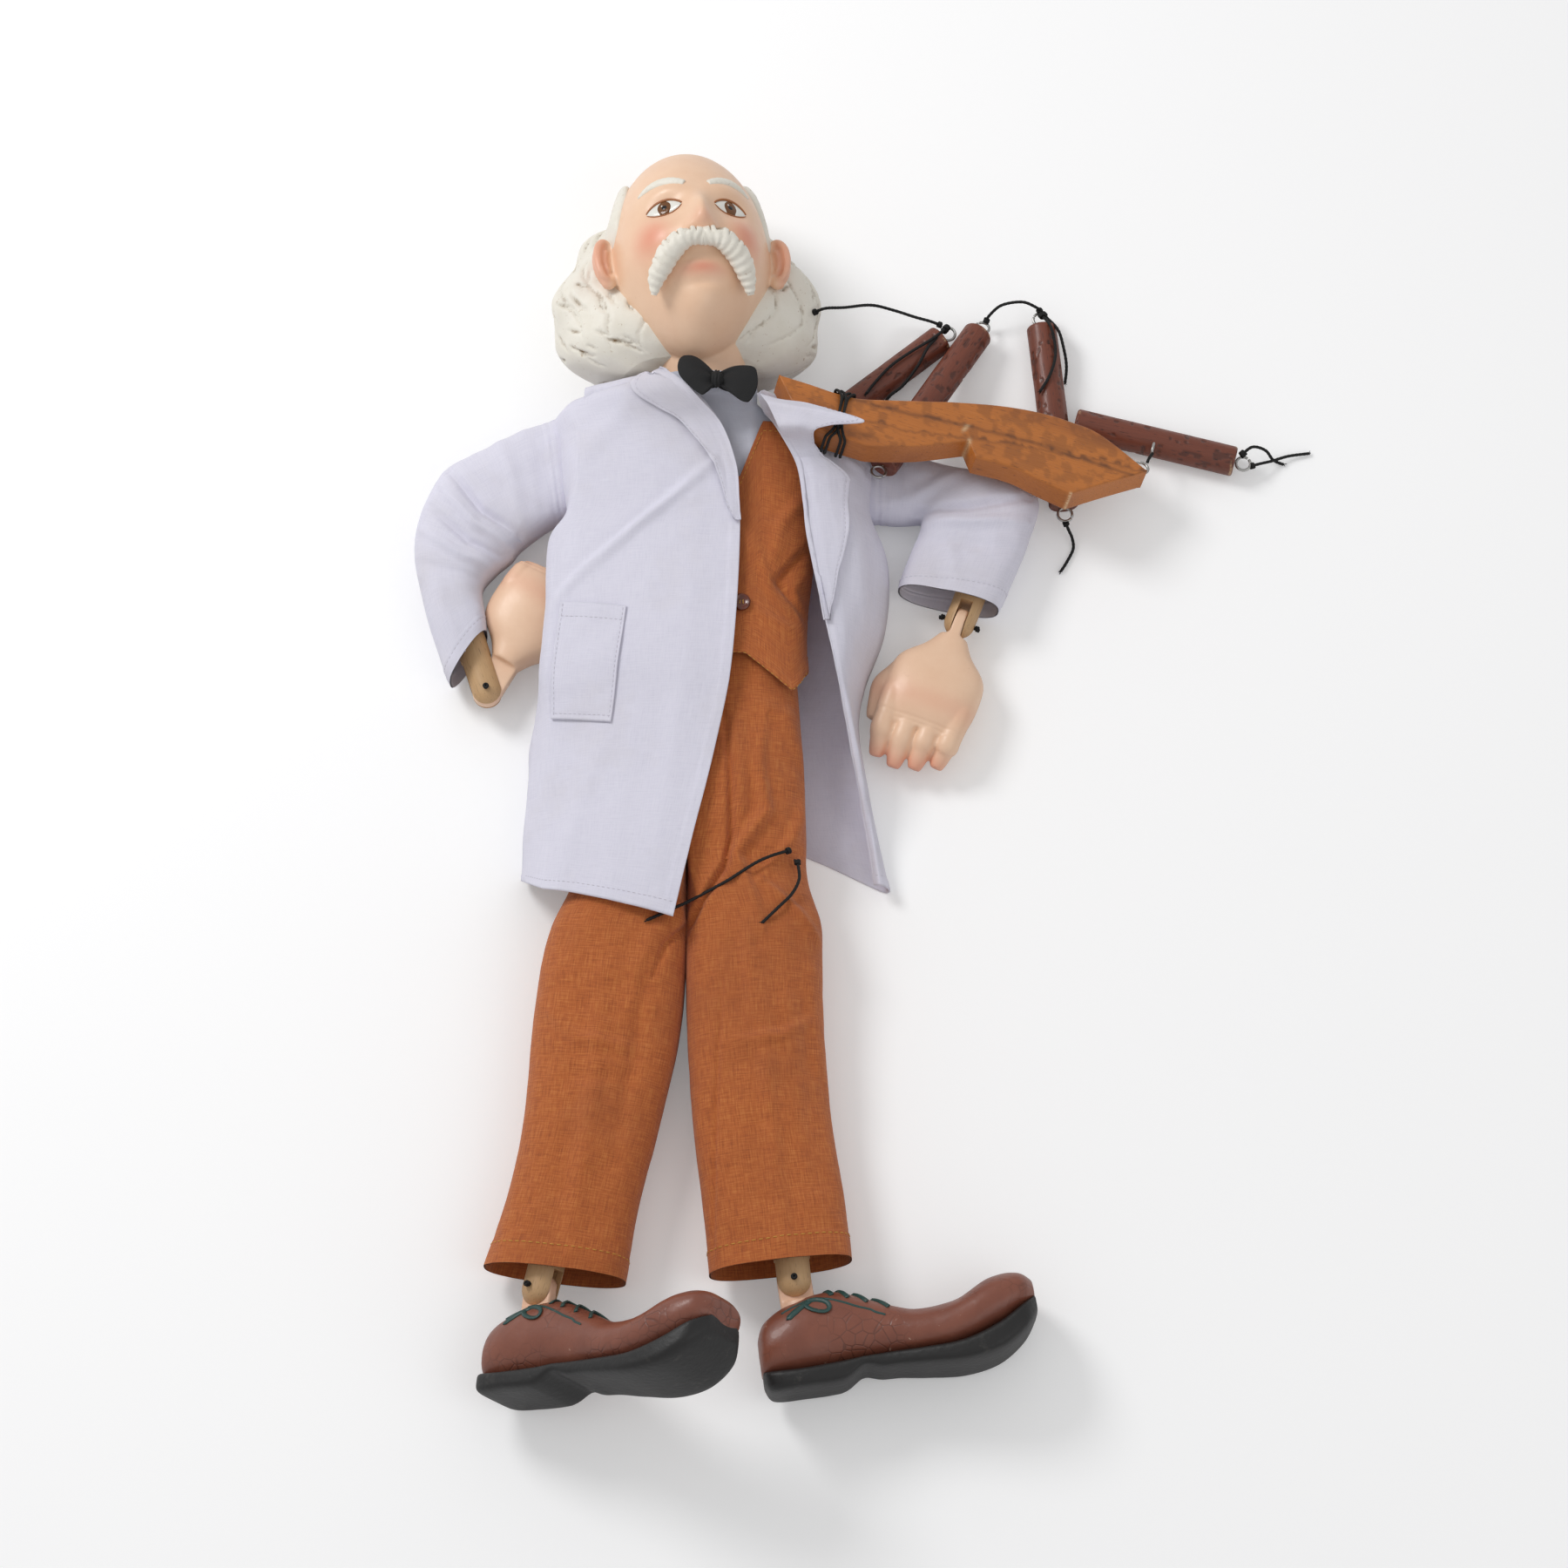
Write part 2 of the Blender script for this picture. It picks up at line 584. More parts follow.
SHOULDER = {"r": (-68, 99), "l": (68, 96)}
ELBOW = {"r": (-152, 27), "l": (171, 68)}
WRIST = {"r": (-128, -46), "l": (144, -3)}
HAND_TIP = {"r": (-85, 30), "l": (109, -95)}
HIP = {"r": (-27, -141), "l": (23, -141)}
KNEE = {"r": (-59, -270), "l": (35, -268)}
ANKLE = {"r": (-90, -398), "l": (48, -393)}
ANKLE_ROLL = {"r": -35, "l": 0}
SHOE_TURN = {"r": -4, "l": 9}
ARM_Z, LEG_Z = 17, 26
ARM_RADIUS, LEG_RADIUS = 9, 10
BEND_NECK, SHORT_NECK, FOLD_NECK = 16.5, 11.5, 21
TONGUE, SLOT, FORK_GAP = 6.4, 7.2, 0.35
CORD_RADIUS, CORD_SEAT, BLOCK_LINK = 1.2, 8, 6


def turn_of(x=0, y=0, z=0):
    """Rz Ry Rx, in degrees, as a 3 x 3 array."""
    m = Matrix.Rotation(radians(z), 3, "Z") @ Matrix.Rotation(radians(y), 3, "Y") @ Matrix.Rotation(radians(x), 3, "X")
    return np.array(m)


def lean_of(start, end):
    """Degrees about Z that turn -Y to the direction from start to end."""
    return np.degrees(atan2(end[0] - start[0], start[1] - end[1]))


def placed(points, origin, turn):
    return np.asarray(points) @ turn.T + np.asarray(origin, float)


def moved(solids, origin, turn):
    """Solids (points and faces) with their points placed."""
    return [(placed(points, origin, turn), faces) for points, faces in solids]


def set_grain(obj, points, turn, origin):
    """Coordinates of each point along and across the wood's length (-Y of the piece), in metres."""
    local = (np.asarray(points) - origin) @ turn
    grain = np.stack([local[:, 1], local[:, 0], local[:, 2]], axis=1) * MM
    attribute = obj.data.attributes.new("grain", "FLOAT_VECTOR", "POINT")
    attribute.data.foreach_set("vector", grain.astype(np.float32).ravel())


def lathed(y, radius, sides):
    """Rings round the Y axis: (r cos a, y, r sin a)."""
    angle = np.arange(sides) / sides * tau
    r = radius[:, None]
    return np.stack([r * np.cos(angle), np.broadcast_to(y[:, None], (len(y), sides)), r * np.sin(angle)], axis=-1)


def block(low, high):
    """Points and faces of a box."""
    x, y, z = zip(low, high)
    points = [(x[i & 1], y[i >> 1 & 1], z[i >> 2]) for i in range(8)]
    faces = [[0, 2, 3, 1], [4, 5, 7, 6], [0, 1, 5, 4], [2, 6, 7, 3], [0, 4, 6, 2], [1, 3, 7, 5]]
    return np.array(points, float), faces


def settle(obj, node, body):
    """The piece rides a body, takes its finish from a slot and stands for a CAD node, if it has one."""
    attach(obj, body)
    if node:
        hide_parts(node)


def dowel(name, node, start, end, level, radius, upper, lower, roll):
    """A turned limb from pivot to pivot: round ends, a tongue at the top and a fork sawn in the bottom.

    upper and lower are (neck, pin axis) or None for an end that hangs on its cord.
    """
    length = hypot(end[0] - start[0], end[1] - start[1])
    first = 0.0 if upper else -BLOCK_LINK - radius
    arc = np.linspace(0, pi / 2, 12)
    ys = np.concatenate([first + radius * np.cos(arc), -length - radius * np.sin(arc)])
    rs = np.concatenate([radius * np.sin(arc), radius * np.cos(arc)])
    rs[[0, -1]] = 0.02
    rough = mesh_object(name + "_rough", *capped(lathed(ys, rs, 48)), None)
    cutters = []
    half, far = TONGUE / 2, 60
    if upper:
        neck, pin = upper
        for sign in (-1, 1):
            near, out = sorted((sign * half, sign * far))
            low, high = ((near, -neck, -far), (out, far, far)) if pin == "x" else ((-far, -neck, near), (far, far, out))
            cutters.append(mesh_object("cutter", *block(low, high), None))
    if lower:
        neck, pin = lower
        s = SLOT / 2
        foot, floor = -length - far, neck + FORK_GAP - length
        low, high = ((-s, foot, -far), (s, floor, far)) if pin == "x" else ((-far, foot, -s), (far, floor, s))
        p, f = block(low, high)
        cutters.append(mesh_object("cutter", p @ turn_of(y=roll).T, f, None))
    for cutter in cutters:
        cut = rough.modifiers.new("cut", "BOOLEAN")
        cut.operation, cut.solver, cut.object = "DIFFERENCE", "EXACT", cutter
    obj = applied(rough, name, DOWEL)
    for cutter in cutters:
        bpy.data.objects.remove(cutter)
    obj.data.set_sharp_from_angle(angle=radians(35))
    turn, origin = turn_of(z=lean_of(start, end)), np.array([*start, level], float)
    set_points(obj, placed(points_of(obj), origin, turn))
    set_grain(obj, points_of(obj), turn, origin)
    settle(obj, node, node)


def pivot_cord(name, node, body, start, end, level, radius, pin, roll):
    """The cord that pins a joint at end, with a knot of two turns outside each ear and a short tail."""
    axis = np.array([1.0, 0, 0]) if pin == "x" else np.array([0, 0, 1.0])
    side = np.array([0, 0, 1.0]) if pin == "x" else np.array([1.0, 0, 0])
    reach = radius + 1.6
    line = np.linspace(-reach, reach, 20)[:, None] * axis
    solids = [capped(tube_points(line, CORD_RADIUS * 0.92, 10))]
    for sign in (-1, 1):
        angle = np.linspace(0, 2 * tau, 40)
        turns = sign * (radius + 0.8 + angle / tau * 1.1)[:, None] * axis
        turns = turns + 1.1 * (np.cos(angle)[:, None] * side + np.sin(angle)[:, None] * np.array([0, 1.0, 0]))
        solids.append(capped(tube_points(turns, 0.75, 8)))
    turn = turn_of(z=lean_of(start, end)) @ turn_of(y=roll)
    settle(merged(name, moved(solids, (*end, level), turn), CORD), node, body)


def add_limbs():
    for s in "rl":
        wrist = (FOLD_NECK, "z") if s == "r" else (SHORT_NECK, "x")
        elbow, knee, ankle = (BEND_NECK, "z"), (BEND_NECK, "x"), (SHORT_NECK, "z")
        for name, node, ends, level, radius, upper, lower, roll in (
                ("arm_upper", "upper_arm", (SHOULDER, ELBOW), ARM_Z, ARM_RADIUS, None, elbow, 0),
                ("arm_lower", "forearm", (ELBOW, WRIST), ARM_Z, ARM_RADIUS, elbow, wrist, 0),
                ("leg_upper", "thigh", (HIP, KNEE), LEG_Z, LEG_RADIUS, None, knee, 0),
                ("leg_lower", "shin", (KNEE, ANKLE), LEG_Z, LEG_RADIUS, knee, ankle, ANKLE_ROLL[s])):
            start, end = ends[0][s], ends[1][s]
            dowel(f"{name}_{s}", f"{node}_{s}", start, end, level, radius, upper, lower, roll)
        for name, body, ends, level, radius, pin, roll in (
                ("elbow", "upper_arm", (SHOULDER, ELBOW), ARM_Z, ARM_RADIUS, "z", 0),
                ("wrist", "forearm", (ELBOW, WRIST), ARM_Z, ARM_RADIUS, wrist[1], 0),
                ("knee", "thigh", (HIP, KNEE), LEG_Z, LEG_RADIUS, "x", 0),
                ("ankle", "shin", (KNEE, ANKLE), LEG_Z, LEG_RADIUS, "z", ANKLE_ROLL[s])):
            start, end = ends[0][s], ends[1][s]
            pivot_cord(f"{name}_tie_{s}", f"{name}_cord_{s}", f"{body}_{s}", start, end, level, radius, pin, roll)


# Hands

def tongue_solid(radius, neck, pin):
    """A slab with a round end about the pin, square to it, TONGUE thick."""
    arc = np.linspace(0, pi, 24)
    outline = np.concatenate([
        np.stack([radius * np.cos(arc), radius * np.sin(arc)], axis=1),
        [[-radius, -neck - 3], [radius, -neck - 3]]])
    half = TONGUE / 2
    rings = np.stack([np.column_stack([outline, np.full(len(outline), z)]) for z in (-half, half)])
    if pin == "x":
        rings = rings[..., [2, 1, 0]]
    return capped(rings)


def oval_rings(rows, power=2.3):
    """Closed rings from (y, half width, half depth, level) rows, as superellipses."""
    rows = spline(rows, 26)
    x, z = squared(np.arange(40) / 40 * tau, power)
    return np.stack([rows[:, 1:2] * x, rows[:, :1] + 0 * x, rows[:, 3:] + rows[:, 2:3] * z], axis=-1)


def bent_finger(keys, radii, flat=1.0):
    path = spline(keys, 30)
    r = spline(np.asarray(radii, float)[:, None], 30)[:, 0]
    knuckles = 1 + 0.05 * np.sin(np.linspace(0, 5 * pi, 30))
    return capped(tube_points(path, r * knuckles, 18, flat))


def add_hand(s, neck, pin, curl):
    """A carved mitten: palm, four fingers side by side, thumb and tongue, skinned over as one."""
    w, d = 28, 15
    palm = oval_rings([
        (-neck + 1, 8.5, 8.5, 0), (-neck - 8, 14.5, 10, 0), (-neck - 20, w * 0.93, d * 0.85, 0),
        (-neck - 36, w, d, 0), (-neck - 50, w * 0.94, d * 0.86, 0), (-neck - 60, w * 0.8, d * 0.58, 0)])
    solids = [capped(palm), tongue_solid(ARM_RADIUS - 0.6, neck, pin)]
    tips = []
    for place in (-3, -1, 1, 3):
        x = place * w * 0.235
        reach = (78 if place == 3 else 86 - abs(place + 1) * 1.5) - curl
        keys = [(x, -neck - 40, 3), (x * 0.99, -neck - 60 + curl * 0.4, 2.4),
                (x * 0.93, -neck - reach + 12, -1), (x * 0.88, -neck - reach + 1.5, -3.5)]
        solids.append(bent_finger(keys, [7.2, 7.0, 6.3, 3.6], 1.08))
        tips.append(keys[-1])
    side = -w
    keys = [(side * 0.6, -neck - 20, -2), (side * 0.96, -neck - 40, -3.5), (side * 0.94, -neck - 60, -5)]
    solids.append(bent_finger(keys, [7.6, 7.8, 4.4]))
    obj = joined_solid(f"carved_hand_{s}", solids, 0.9, 7, SKIN)
    points = points_of(obj)
    blush = np.zeros(len(points))
    for tip in tips:
        blush += 0.55 * bell(np.linalg.norm(points - np.array(tip), axis=1), 9)
    blush += 0.2 * bell(points[:, 1] + neck + 44, 7) * (points[:, 2] > 0)
    creases = sum(bell(points[:, 1] + neck + y, 0.9) for y in (56.0, 58.5)) * (points[:, 2] > 4)
    set_points(obj, points - read_vectors(obj, "normal") * (0.35 * creases)[:, None])
    paint_attribute(obj, "blush", np.clip(blush, 0, 0.7))
    turn = turn_of(z=lean_of(WRIST[s], HAND_TIP[s]))
    set_points(obj, placed(points_of(obj), (*WRIST[s], ARM_Z), turn))
    settle(obj, f"hand_{s}", f"hand_{s}")


# Shoes: local X from heel to toe, Y up from the sole, Z across

SHOE_LENGTH, SHOE_DROP, ANKLE_SETBACK, FOOT_HALF = 152, 62, 25, 25
SHOE_ROWS = [  # along, bottom of the sole, sole line, top, half width; shares of length, drop and half
    (0.0, 0.10, 0.22, 0.50, 0.34), (0.03, 0.01, 0.20, 0.66, 0.68), (0.14, 0.0, 0.18, 0.80, 0.80),
    (0.28, 0.0, 0.19, 0.85, 0.78), (0.45, 0.06, 0.20, 0.69, 0.78), (0.58, 0.03, 0.19, 0.57, 0.90),
    (0.72, 0.0, 0.20, 0.60, 1.0), (0.85, 0.05, 0.30, 0.74, 1.0), (0.95, 0.20, 0.44, 0.75, 0.86),
    (1.0, 0.36, 0.52, 0.66, 0.5)]


def shoe_rows(count):
    rows = spline(SHOE_ROWS, count)
    x = rows[:, 0] * SHOE_LENGTH - ANKLE_SETBACK
    y = rows[:, 1:4] * SHOE_DROP - SHOE_DROP
    return x, y[:, 0], y[:, 1], y[:, 2], rows[:, 4] * FOOT_HALF


def shoe_upper():
    x, _, line, top, half = shoe_rows(70)
    across, rise = squared((np.arange(64) + 0.5) / 64 * tau, 2.3)
    middle, depth = (top + line - 3) / 2, (top - line + 3) / 2
    y = middle[:, None] + depth[:, None] * rise
    z = half[:, None] * across * (0.97 - 0.1 * np.maximum(rise, 0) * ease(0.6 - x / SHOE_LENGTH, 0, 0.3)[:, None])
    rings = np.stack([np.broadcast_to(x[:, None], y.shape), y, z], axis=-1)
    rings += grid_normals(rings, True) * (0.7 * layered_noise(rings, 24, 5))[..., None]
    return rings


def shoe_sole():
    x, low, line, _, half = shoe_rows(80)
    low = low + 5.0 * bell(x - (0.36 * SHOE_LENGTH - ANKLE_SETBACK), 7) * (x > 0.29 * SHOE_LENGTH - ANKLE_SETBACK)
    across, rise = squared((np.arange(56) + 0.5) / 56 * tau, 5)
    y = ((line + low) / 2)[:, None] + ((line - low) / 2)[:, None] * rise
    z = (half * 1.02 + 0.8)[:, None] * across
    return np.stack([np.broadcast_to(x[:, None], y.shape), y, z], axis=-1)


def surface_line(tree, points, lift=0.4):
    """The nearest points of a surface, lifted off it a little."""
    out = []
    for p in points:
        at, normal, _, _ = tree.find_nearest(Vector(p))
        out.append(np.array(at) + lift * np.array(normal))
    return np.array(out)


def add_shoe(s):
    lean = lean_of(KNEE[s], ANKLE[s])
    turn = turn_of(z=lean) @ turn_of(y=ANKLE_ROLL[s]) @ turn_of(z=SHOE_TURN[s] - lean)
    origin = (*ANKLE[s], LEG_Z)
    rows = [(-SHORT_NECK, 8.4, 8.4, 0), (-SHORT_NECK - 6, 9.5, 9.5, 0), (-SHOE_DROP * 0.45, 12, 12, 0)]
    ankle = oval_rings(rows, 2)
    leg = joined_solid(f"ankle_{s}", [capped(ankle), tongue_solid(LEG_RADIUS - 0.6, SHORT_NECK, "z")], 0.8, 3, SKIN)
    paint_attribute(leg, "blush", np.full(len(leg.data.vertices), 0.15))
    set_points(leg, placed(points_of(leg), origin, turn))
    upper = joined_solid(f"shoe_upper_{s}", [capped(shoe_upper())], 1.1, 4, SHOE)
    tree = surface_tree(upper)
    laces = []
    for k, u in enumerate((0.26, 0.33, 0.40, 0.47)):
        x = u * SHOE_LENGTH - ANKLE_SETBACK
        arc = np.linspace(-1.0, 1.0, 18)
        line = np.stack([x + 5 * np.abs(arc) - 0.4 * k, 8.0 - 4 * k - 12 * arc**2, 20 * arc], axis=1)
        laces.append(surface_line(tree, line))
    for sign in (-1, 1):
        t = np.linspace(0, tau, 34)
        reach = (1 - np.cos(t)) / 2
        x = 4 + 13 * sin(0.3) * np.sin(t) + 11 * reach * sign
        laces.append(surface_line(tree, np.stack([x, -8 - 13 * reach + 3 * np.sin(t), 22 + 0 * t], axis=1)))
    x = np.linspace(-ANKLE_SETBACK + 12, 44, 40)
    y, z = (np.interp(x, [-13, 6, 44], ends) for ends in ([-14, -9, -34], [19, 16, 9]))
    for side in (-1, 1):
        laces.append(surface_line(tree, np.stack([x, y, side * z], axis=1), 0.1))
    ribbons = [capped(tube_points(resampled(p, 0.9), 1.5 if k < 6 else 0.7, 8, 0.45)) for k, p in enumerate(laces)]
    lace = merged(f"shoe_laces_{s}", ribbons, LACE)
    sole = joined_solid(f"shoe_sole_{s}", [capped(shoe_sole())], 1.1, 2, SOLE)
    for obj in (upper, lace, sole):
        points = placed(points_of(obj), origin, turn)
        points[:, 2] = np.maximum(points[:, 2], 0.1)
        set_points(obj, points)
    for obj in (leg, upper, lace, sole):
        settle(obj, f"foot_{s}" if obj is upper else None, f"foot_{s}")


add_limbs()
add_hand("r", FOLD_NECK, "z", 17)
add_hand("l", SHORT_NECK, "x", 0)
for side in "rl":
    add_shoe(side)


# Head: local X to the figure's left, Y up the face, Z out of the face

HEAD_CENTRE = np.array([-13.0, 209.0, 57.0])
HEAD_HALF = (46, 69, 53)
HEAD_TURN = turn_of(-12, 8, 4)
NECK_PIVOT = (-5, 121, 34)


def face_relief(x, y):
    """How far the front of the skull stands out at x, y, as a share of its depth: a calm, even face."""
    u, v = x / HEAD_HALF[0], y / HEAD_HALF[1]
    a = np.abs(u)
    relief = 0.2 * bell(u, 0.15) * bell(v + 0.1, 0.17) + 0.14 * bell(u, 0.22) * bell(v + 0.26, 0.1)
    relief = relief + 0.05 * bell(a - 0.4, 0.3) * bell(v - 0.2, 0.09) - 0.09 * bell(a - 0.42, 0.2) * bell(v - 0.02, 0.1)
    relief = relief + 0.06 * bell(a - 0.55, 0.28) * bell(v + 0.28, 0.18)
    relief = relief + 0.05 * bell(u, 0.3) * bell(v + 0.55, 0.07) + 0.09 * bell(u, 0.28) * bell(v + 0.85, 0.16)
    relief = relief + 0.035 * bell(a - 0.17, 0.06) * bell(v + 0.28, 0.045)
    relief = relief - 0.02 * bell(a - 0.22, 0.03) * bell(v + 0.27, 0.05)
    relief = relief + 0.03 * bell(a - 0.42, 0.15) * bell(v - 0.02, 0.05)
    return relief - 0.03 * bell(u, 0.2) * bell(v + 0.665, 0.03) - 0.012 * bell(u, 0.25) * bell(v + 0.5, 0.012)


def skull_rings(rows, columns):
    w, h, d = HEAD_HALF
    polar = np.linspace(0.02, pi - 0.02, rows)[:, None]
    around = np.arange(columns)[None, :] / columns * tau
    y = h * np.cos(polar) + 0 * around
    low = np.maximum(0, -np.cos(polar))
    x = w * np.sin(polar) * np.sin(around) * (1 - 0.2 * low * low)
    z = d * np.sin(polar) * np.cos(around) * (1 - 0.06 * low)
    x = x * (1 + 0.04 * bell(np.cos(polar) + 0.35, 0.3))
    return np.stack([x, y, z + ease(z / d, 0.1, 0.7) * d * face_relief(x, y)], axis=-1)


def head_piece(obj, node=None):
    """Moves a piece of the head to its place, on the floor or above it."""
    points = placed(points_of(obj), HEAD_CENTRE, HEAD_TURN)
    points[:, 2] = np.maximum(points[:, 2], 0.3)
    set_points(obj, points)
    settle(obj, node, "head")


def ear_solids(side):
    """An ear: a bowl with a rolled rim, a small inner fold and a lobe."""
    w, h, d = HEAD_HALF
    middle = np.array([side * 1.1 * w, -0.1 * h, 0.1 * d])
    lean = Matrix.Rotation(-side * 0.5, 4, "Y")
    solids = [capped(ball_points((8.6, 0.235 * h, 4.6), middle, lean))]
    t = np.linspace(-0.35, 1.25, 24) * pi
    turn = np.array(lean.to_3x3()).T
    rim = np.stack([side * 6.3 * np.sin(t) + side * 1.5, 0.2 * h * np.cos(t), 3.6 + 0 * t], axis=1) @ turn + middle
    solids.append(capped(tube_points(rim, np.interp(t, [-1, 1, 3.9], [1.6, 2.6, 1.7]), 10)))
    t = np.linspace(0.1, 0.95, 14) * pi
    fold = np.stack([side * 3.0 * np.sin(t), 0.11 * h * np.cos(t), 4.2 + 0 * t], axis=1) @ turn + middle
    solids.append(capped(tube_points(fold, 1.3, 8)))
    lobe = middle + np.array([-side * 1.0, -0.2 * h, 1.0])
    solids.append(capped(ball_points((4.4, 4.6, 3.4), lobe)))
    return solids


def neck_solid():
    """The neck stub in world coordinates: open below, with the recess of the neck link."""
    x, _, z = NECK_PIVOT
    y, a, b, lift = np.array([
        (137.1, 0.4, 0.4, 0), (137.1, 9, 9, 0), (126.65, 9, 9, 0), (126.65, 23, 21, 8),
        (128, 24, 22, 8), (148, 27, 24, 11), (166, 30, 26, 14)]).T[..., None]
    angle = np.arange(48) / 48 * tau
    rings = np.stack([x - (y - 126) * 0.05 + a * np.cos(angle), y + 0 * angle, z + lift + b * np.sin(angle)], axis=-1)
    points, faces = capped(rings)
    return (points - HEAD_CENTRE) @ HEAD_TURN, faces


def carved_piece(name, grid, normals, lines, width, depth):
    """A piece of hair whose points are pushed in along thin cuts; groove says how deep, from 0 to 1."""
    points, normals = grid.reshape(-1, 3), normals.reshape(-1, 3)
    groove = np.zeros(len(points))
    for line, size in lines:
        near = np.linalg.norm(points - line[len(line) // 2], axis=1) < np.linalg.norm(line[0] - line[-1]) + 5
        index = np.nonzero(near)[0]
        distance = np.linalg.norm(points[index, None] - line[None], axis=2)
        closest = distance.argmin(axis=1)
        taper = np.sin(np.linspace(0.08, pi - 0.08, len(line)))[closest] ** 0.6
        cut = size * taper * bell(distance.min(axis=1), width * (0.4 + 0.6 * taper))
        groove[index] = np.maximum(groove[index], cut)
    points = points - normals * (depth * groove)[:, None]
    obj = mesh_object(name, *capped(points.reshape(grid.shape)), HAIR)
    paint_attribute(obj, "groove", np.concatenate([groove, [0, 0]]))
    head_piece(obj)


HAIR_ROWS = [  # share of the head's height, half width, front and back depth
    (0.66, 0.86, -0.3, -0.86), (0.45, 1.24, -0.06, -1.02), (0.15, 1.52, 0.12, -1.1), (-0.12, 1.7, 0.16, -1.15),
    (-0.4, 1.74, 0.16, -1.15), (-0.66, 1.62, 0.12, -1.12), (-0.85, 1.3, 0.02, -1.05), (-0.94, 0.9, -0.12, -0.9)]


def add_hair():
    """Carved hair: swelling locks that roll outward behind the ears, with short gouges."""
    w, h, d = HEAD_HALF
    rows = spline(HAIR_ROWS, 150)
    columns = 300
    angle = (np.arange(columns) / columns * tau)[None, :]
    c, s = squared(angle, 2.3)
    x = rows[:, 1:2] * w * c
    middle, depth = (rows[:, 2:3] + rows[:, 3:]) / 2 * d, (rows[:, 2:3] - rows[:, 3:]) / 2 * d
    grid = np.stack([x, np.broadcast_to(rows[:, :1] * h, x.shape), middle + depth * s], axis=-1)
    normal = front_normals(grid, 75, 75, True)
    v, side = rows[:, :1], np.abs(np.cos(angle))
    locks = np.sin(v * 9.0 + 2.4 * side + 1.2 * np.sin(5 * angle)) * (0.35 + 0.65 * side)
    lumps = layered_noise(grid, 34, 11, 2)
    grid = grid + normal * (1.5 * locks + 2.6 * lumps - 0.6)[..., None]
    normal = front_normals(grid, 75, 75, True)
    rng = np.random.default_rng(7)
    lines = []
    for _ in range(105):
        i = int(rng.uniform(12, 138))
        j = int(rng.uniform(-0.1, 0.6) * columns) % columns
        course = rng.uniform(-0.7, 0.7) + (0.5 if np.cos(angle[0, j]) > 0 else -0.5)
        length, bend = rng.uniform(6, 21), rng.uniform(-0.5, 0.5)
        t = np.linspace(-0.5, 0.5, 9)
        along = np.round(i + t * length * np.cos(course) / 0.85).astype(int)
        over = np.round(j + (t * length * np.sin(course) + bend * (1 - 4 * t * t) * 2.5) / 1.35).astype(int)
        line = grid[np.clip(along, 0, 149), over % columns]
        lines.append((resampled(line, 0.8), rng.uniform(0.35, 1.0)))
    for sign in (0, 1):
        for k in range(3):
            j = int(columns * (0.06 + 0.06 * k if sign == 0 else 0.44 - 0.06 * k))
            t = np.linspace(0, 1, 60)
            line = grid[(30 + 12 * k + 85 * t).astype(int), (j + 7 * np.sin(t * 6 + k)).astype(int) % columns]
            lines.append((resampled(line, 0.8), 0.5))
    carved_piece("carved_hair", grid, normal, lines, 1.15, 2.5)
    for sign in (-1, 1):
        middle, turn = (sign * 0.86 * w, 0.36 * h, 0.06 * d), Matrix.Rotation(sign * 0.22, 4, "Z")
        lobe = ball_points((7, 27, 17), middle, turn, 60, 80)
        lobe = lobe + grid_normals(lobe, True) * (0.9 * layered_noise(lobe, 16, 3))[..., None]
        n = grid_normals(lobe, True).reshape(-1, 3)
        n = np.where(np.sum(n * (lobe.reshape(-1, 3) - lobe.mean(axis=(0, 1))), axis=1, keepdims=True) < 0, -n, n)
        cuts = []
        for k in range(5):
            t = np.linspace(-0.5, 0.5, 12)
            x, y = sign * (0.98 * w - 2 * k), 0.36 * h + 26 * t * (1 - 0.1 * k) - 4 * k + 6
            cuts.append((np.stack([x + 1.5 * sign * t, y, 0.06 * d + 9 + 2 * k - 30 * t * t], axis=1), 0.8))
        carved_piece(f"temple_hair_{'r' if sign < 0 else 'l'}", lobe, n, cuts, 0.9, 0.9)


def add_moustache():
    w, h, d = HEAD_HALF
    solids, grooves = [], []
    for side in (-1, 1):
        path = spline([
            (-side * 0.03 * w, -0.365 * h, 1.02 * d), (side * 0.2 * w, -0.37 * h, 1.02 * d),
            (side * 0.42 * w, -0.46 * h, 0.9 * d),
            (side * 0.56 * w, -0.6 * h, 0.73 * d), (side * 0.61 * w, -0.73 * h, 0.6 * d)], 130)
        radii = spline(np.array([[4.6], [6.6], [7.0], [5.6], [1.6]]), 130)[:, 0]
        rings = tube_points(path, radii, 64, 0.92)
        normal = (rings - path[:, None]) / np.linalg.norm(rings - path[:, None], axis=2, keepdims=True)
        t = np.linspace(0, 1, 130)[:, None]
        upper = np.clip(normal @ np.array([0.2 * side, 0.72, 0.66]), 0, 1) ** 3
        wave = (t * 11 + 0.25 * np.sin(t * 40)) % 1 - 0.5
        cut = bell(wave, 0.13) * upper * ease(t, 0.03, 0.1) * (1 - ease(t, 0.82, 0.95))
        strand = 0.35 * np.sin(t * 70 + 3 * normal[..., 1]) * (1 - upper)
        rings = rings + normal * (0.5 * layered_noise(rings, 9, 2) - 2.1 * cut + 0.7 * strand)[..., None]
        solids.append(capped(rings))
        grooves += [np.clip(cut * 1.5 - 0.5 * strand * (1 - upper), 0, 1).ravel(), [0, 0]]
    obj = merged("moustache", solids, HAIR)
    paint_attribute(obj, "groove", np.concatenate(grooves))
    head_piece(obj)


def heights(tree, points):
    """Where lines straight down through (x, y) points meet the face."""
    return np.array([tree.ray_cast(Vector((x, y, 120)), Vector((0, 0, -1)))[0][2] for x, y in points])


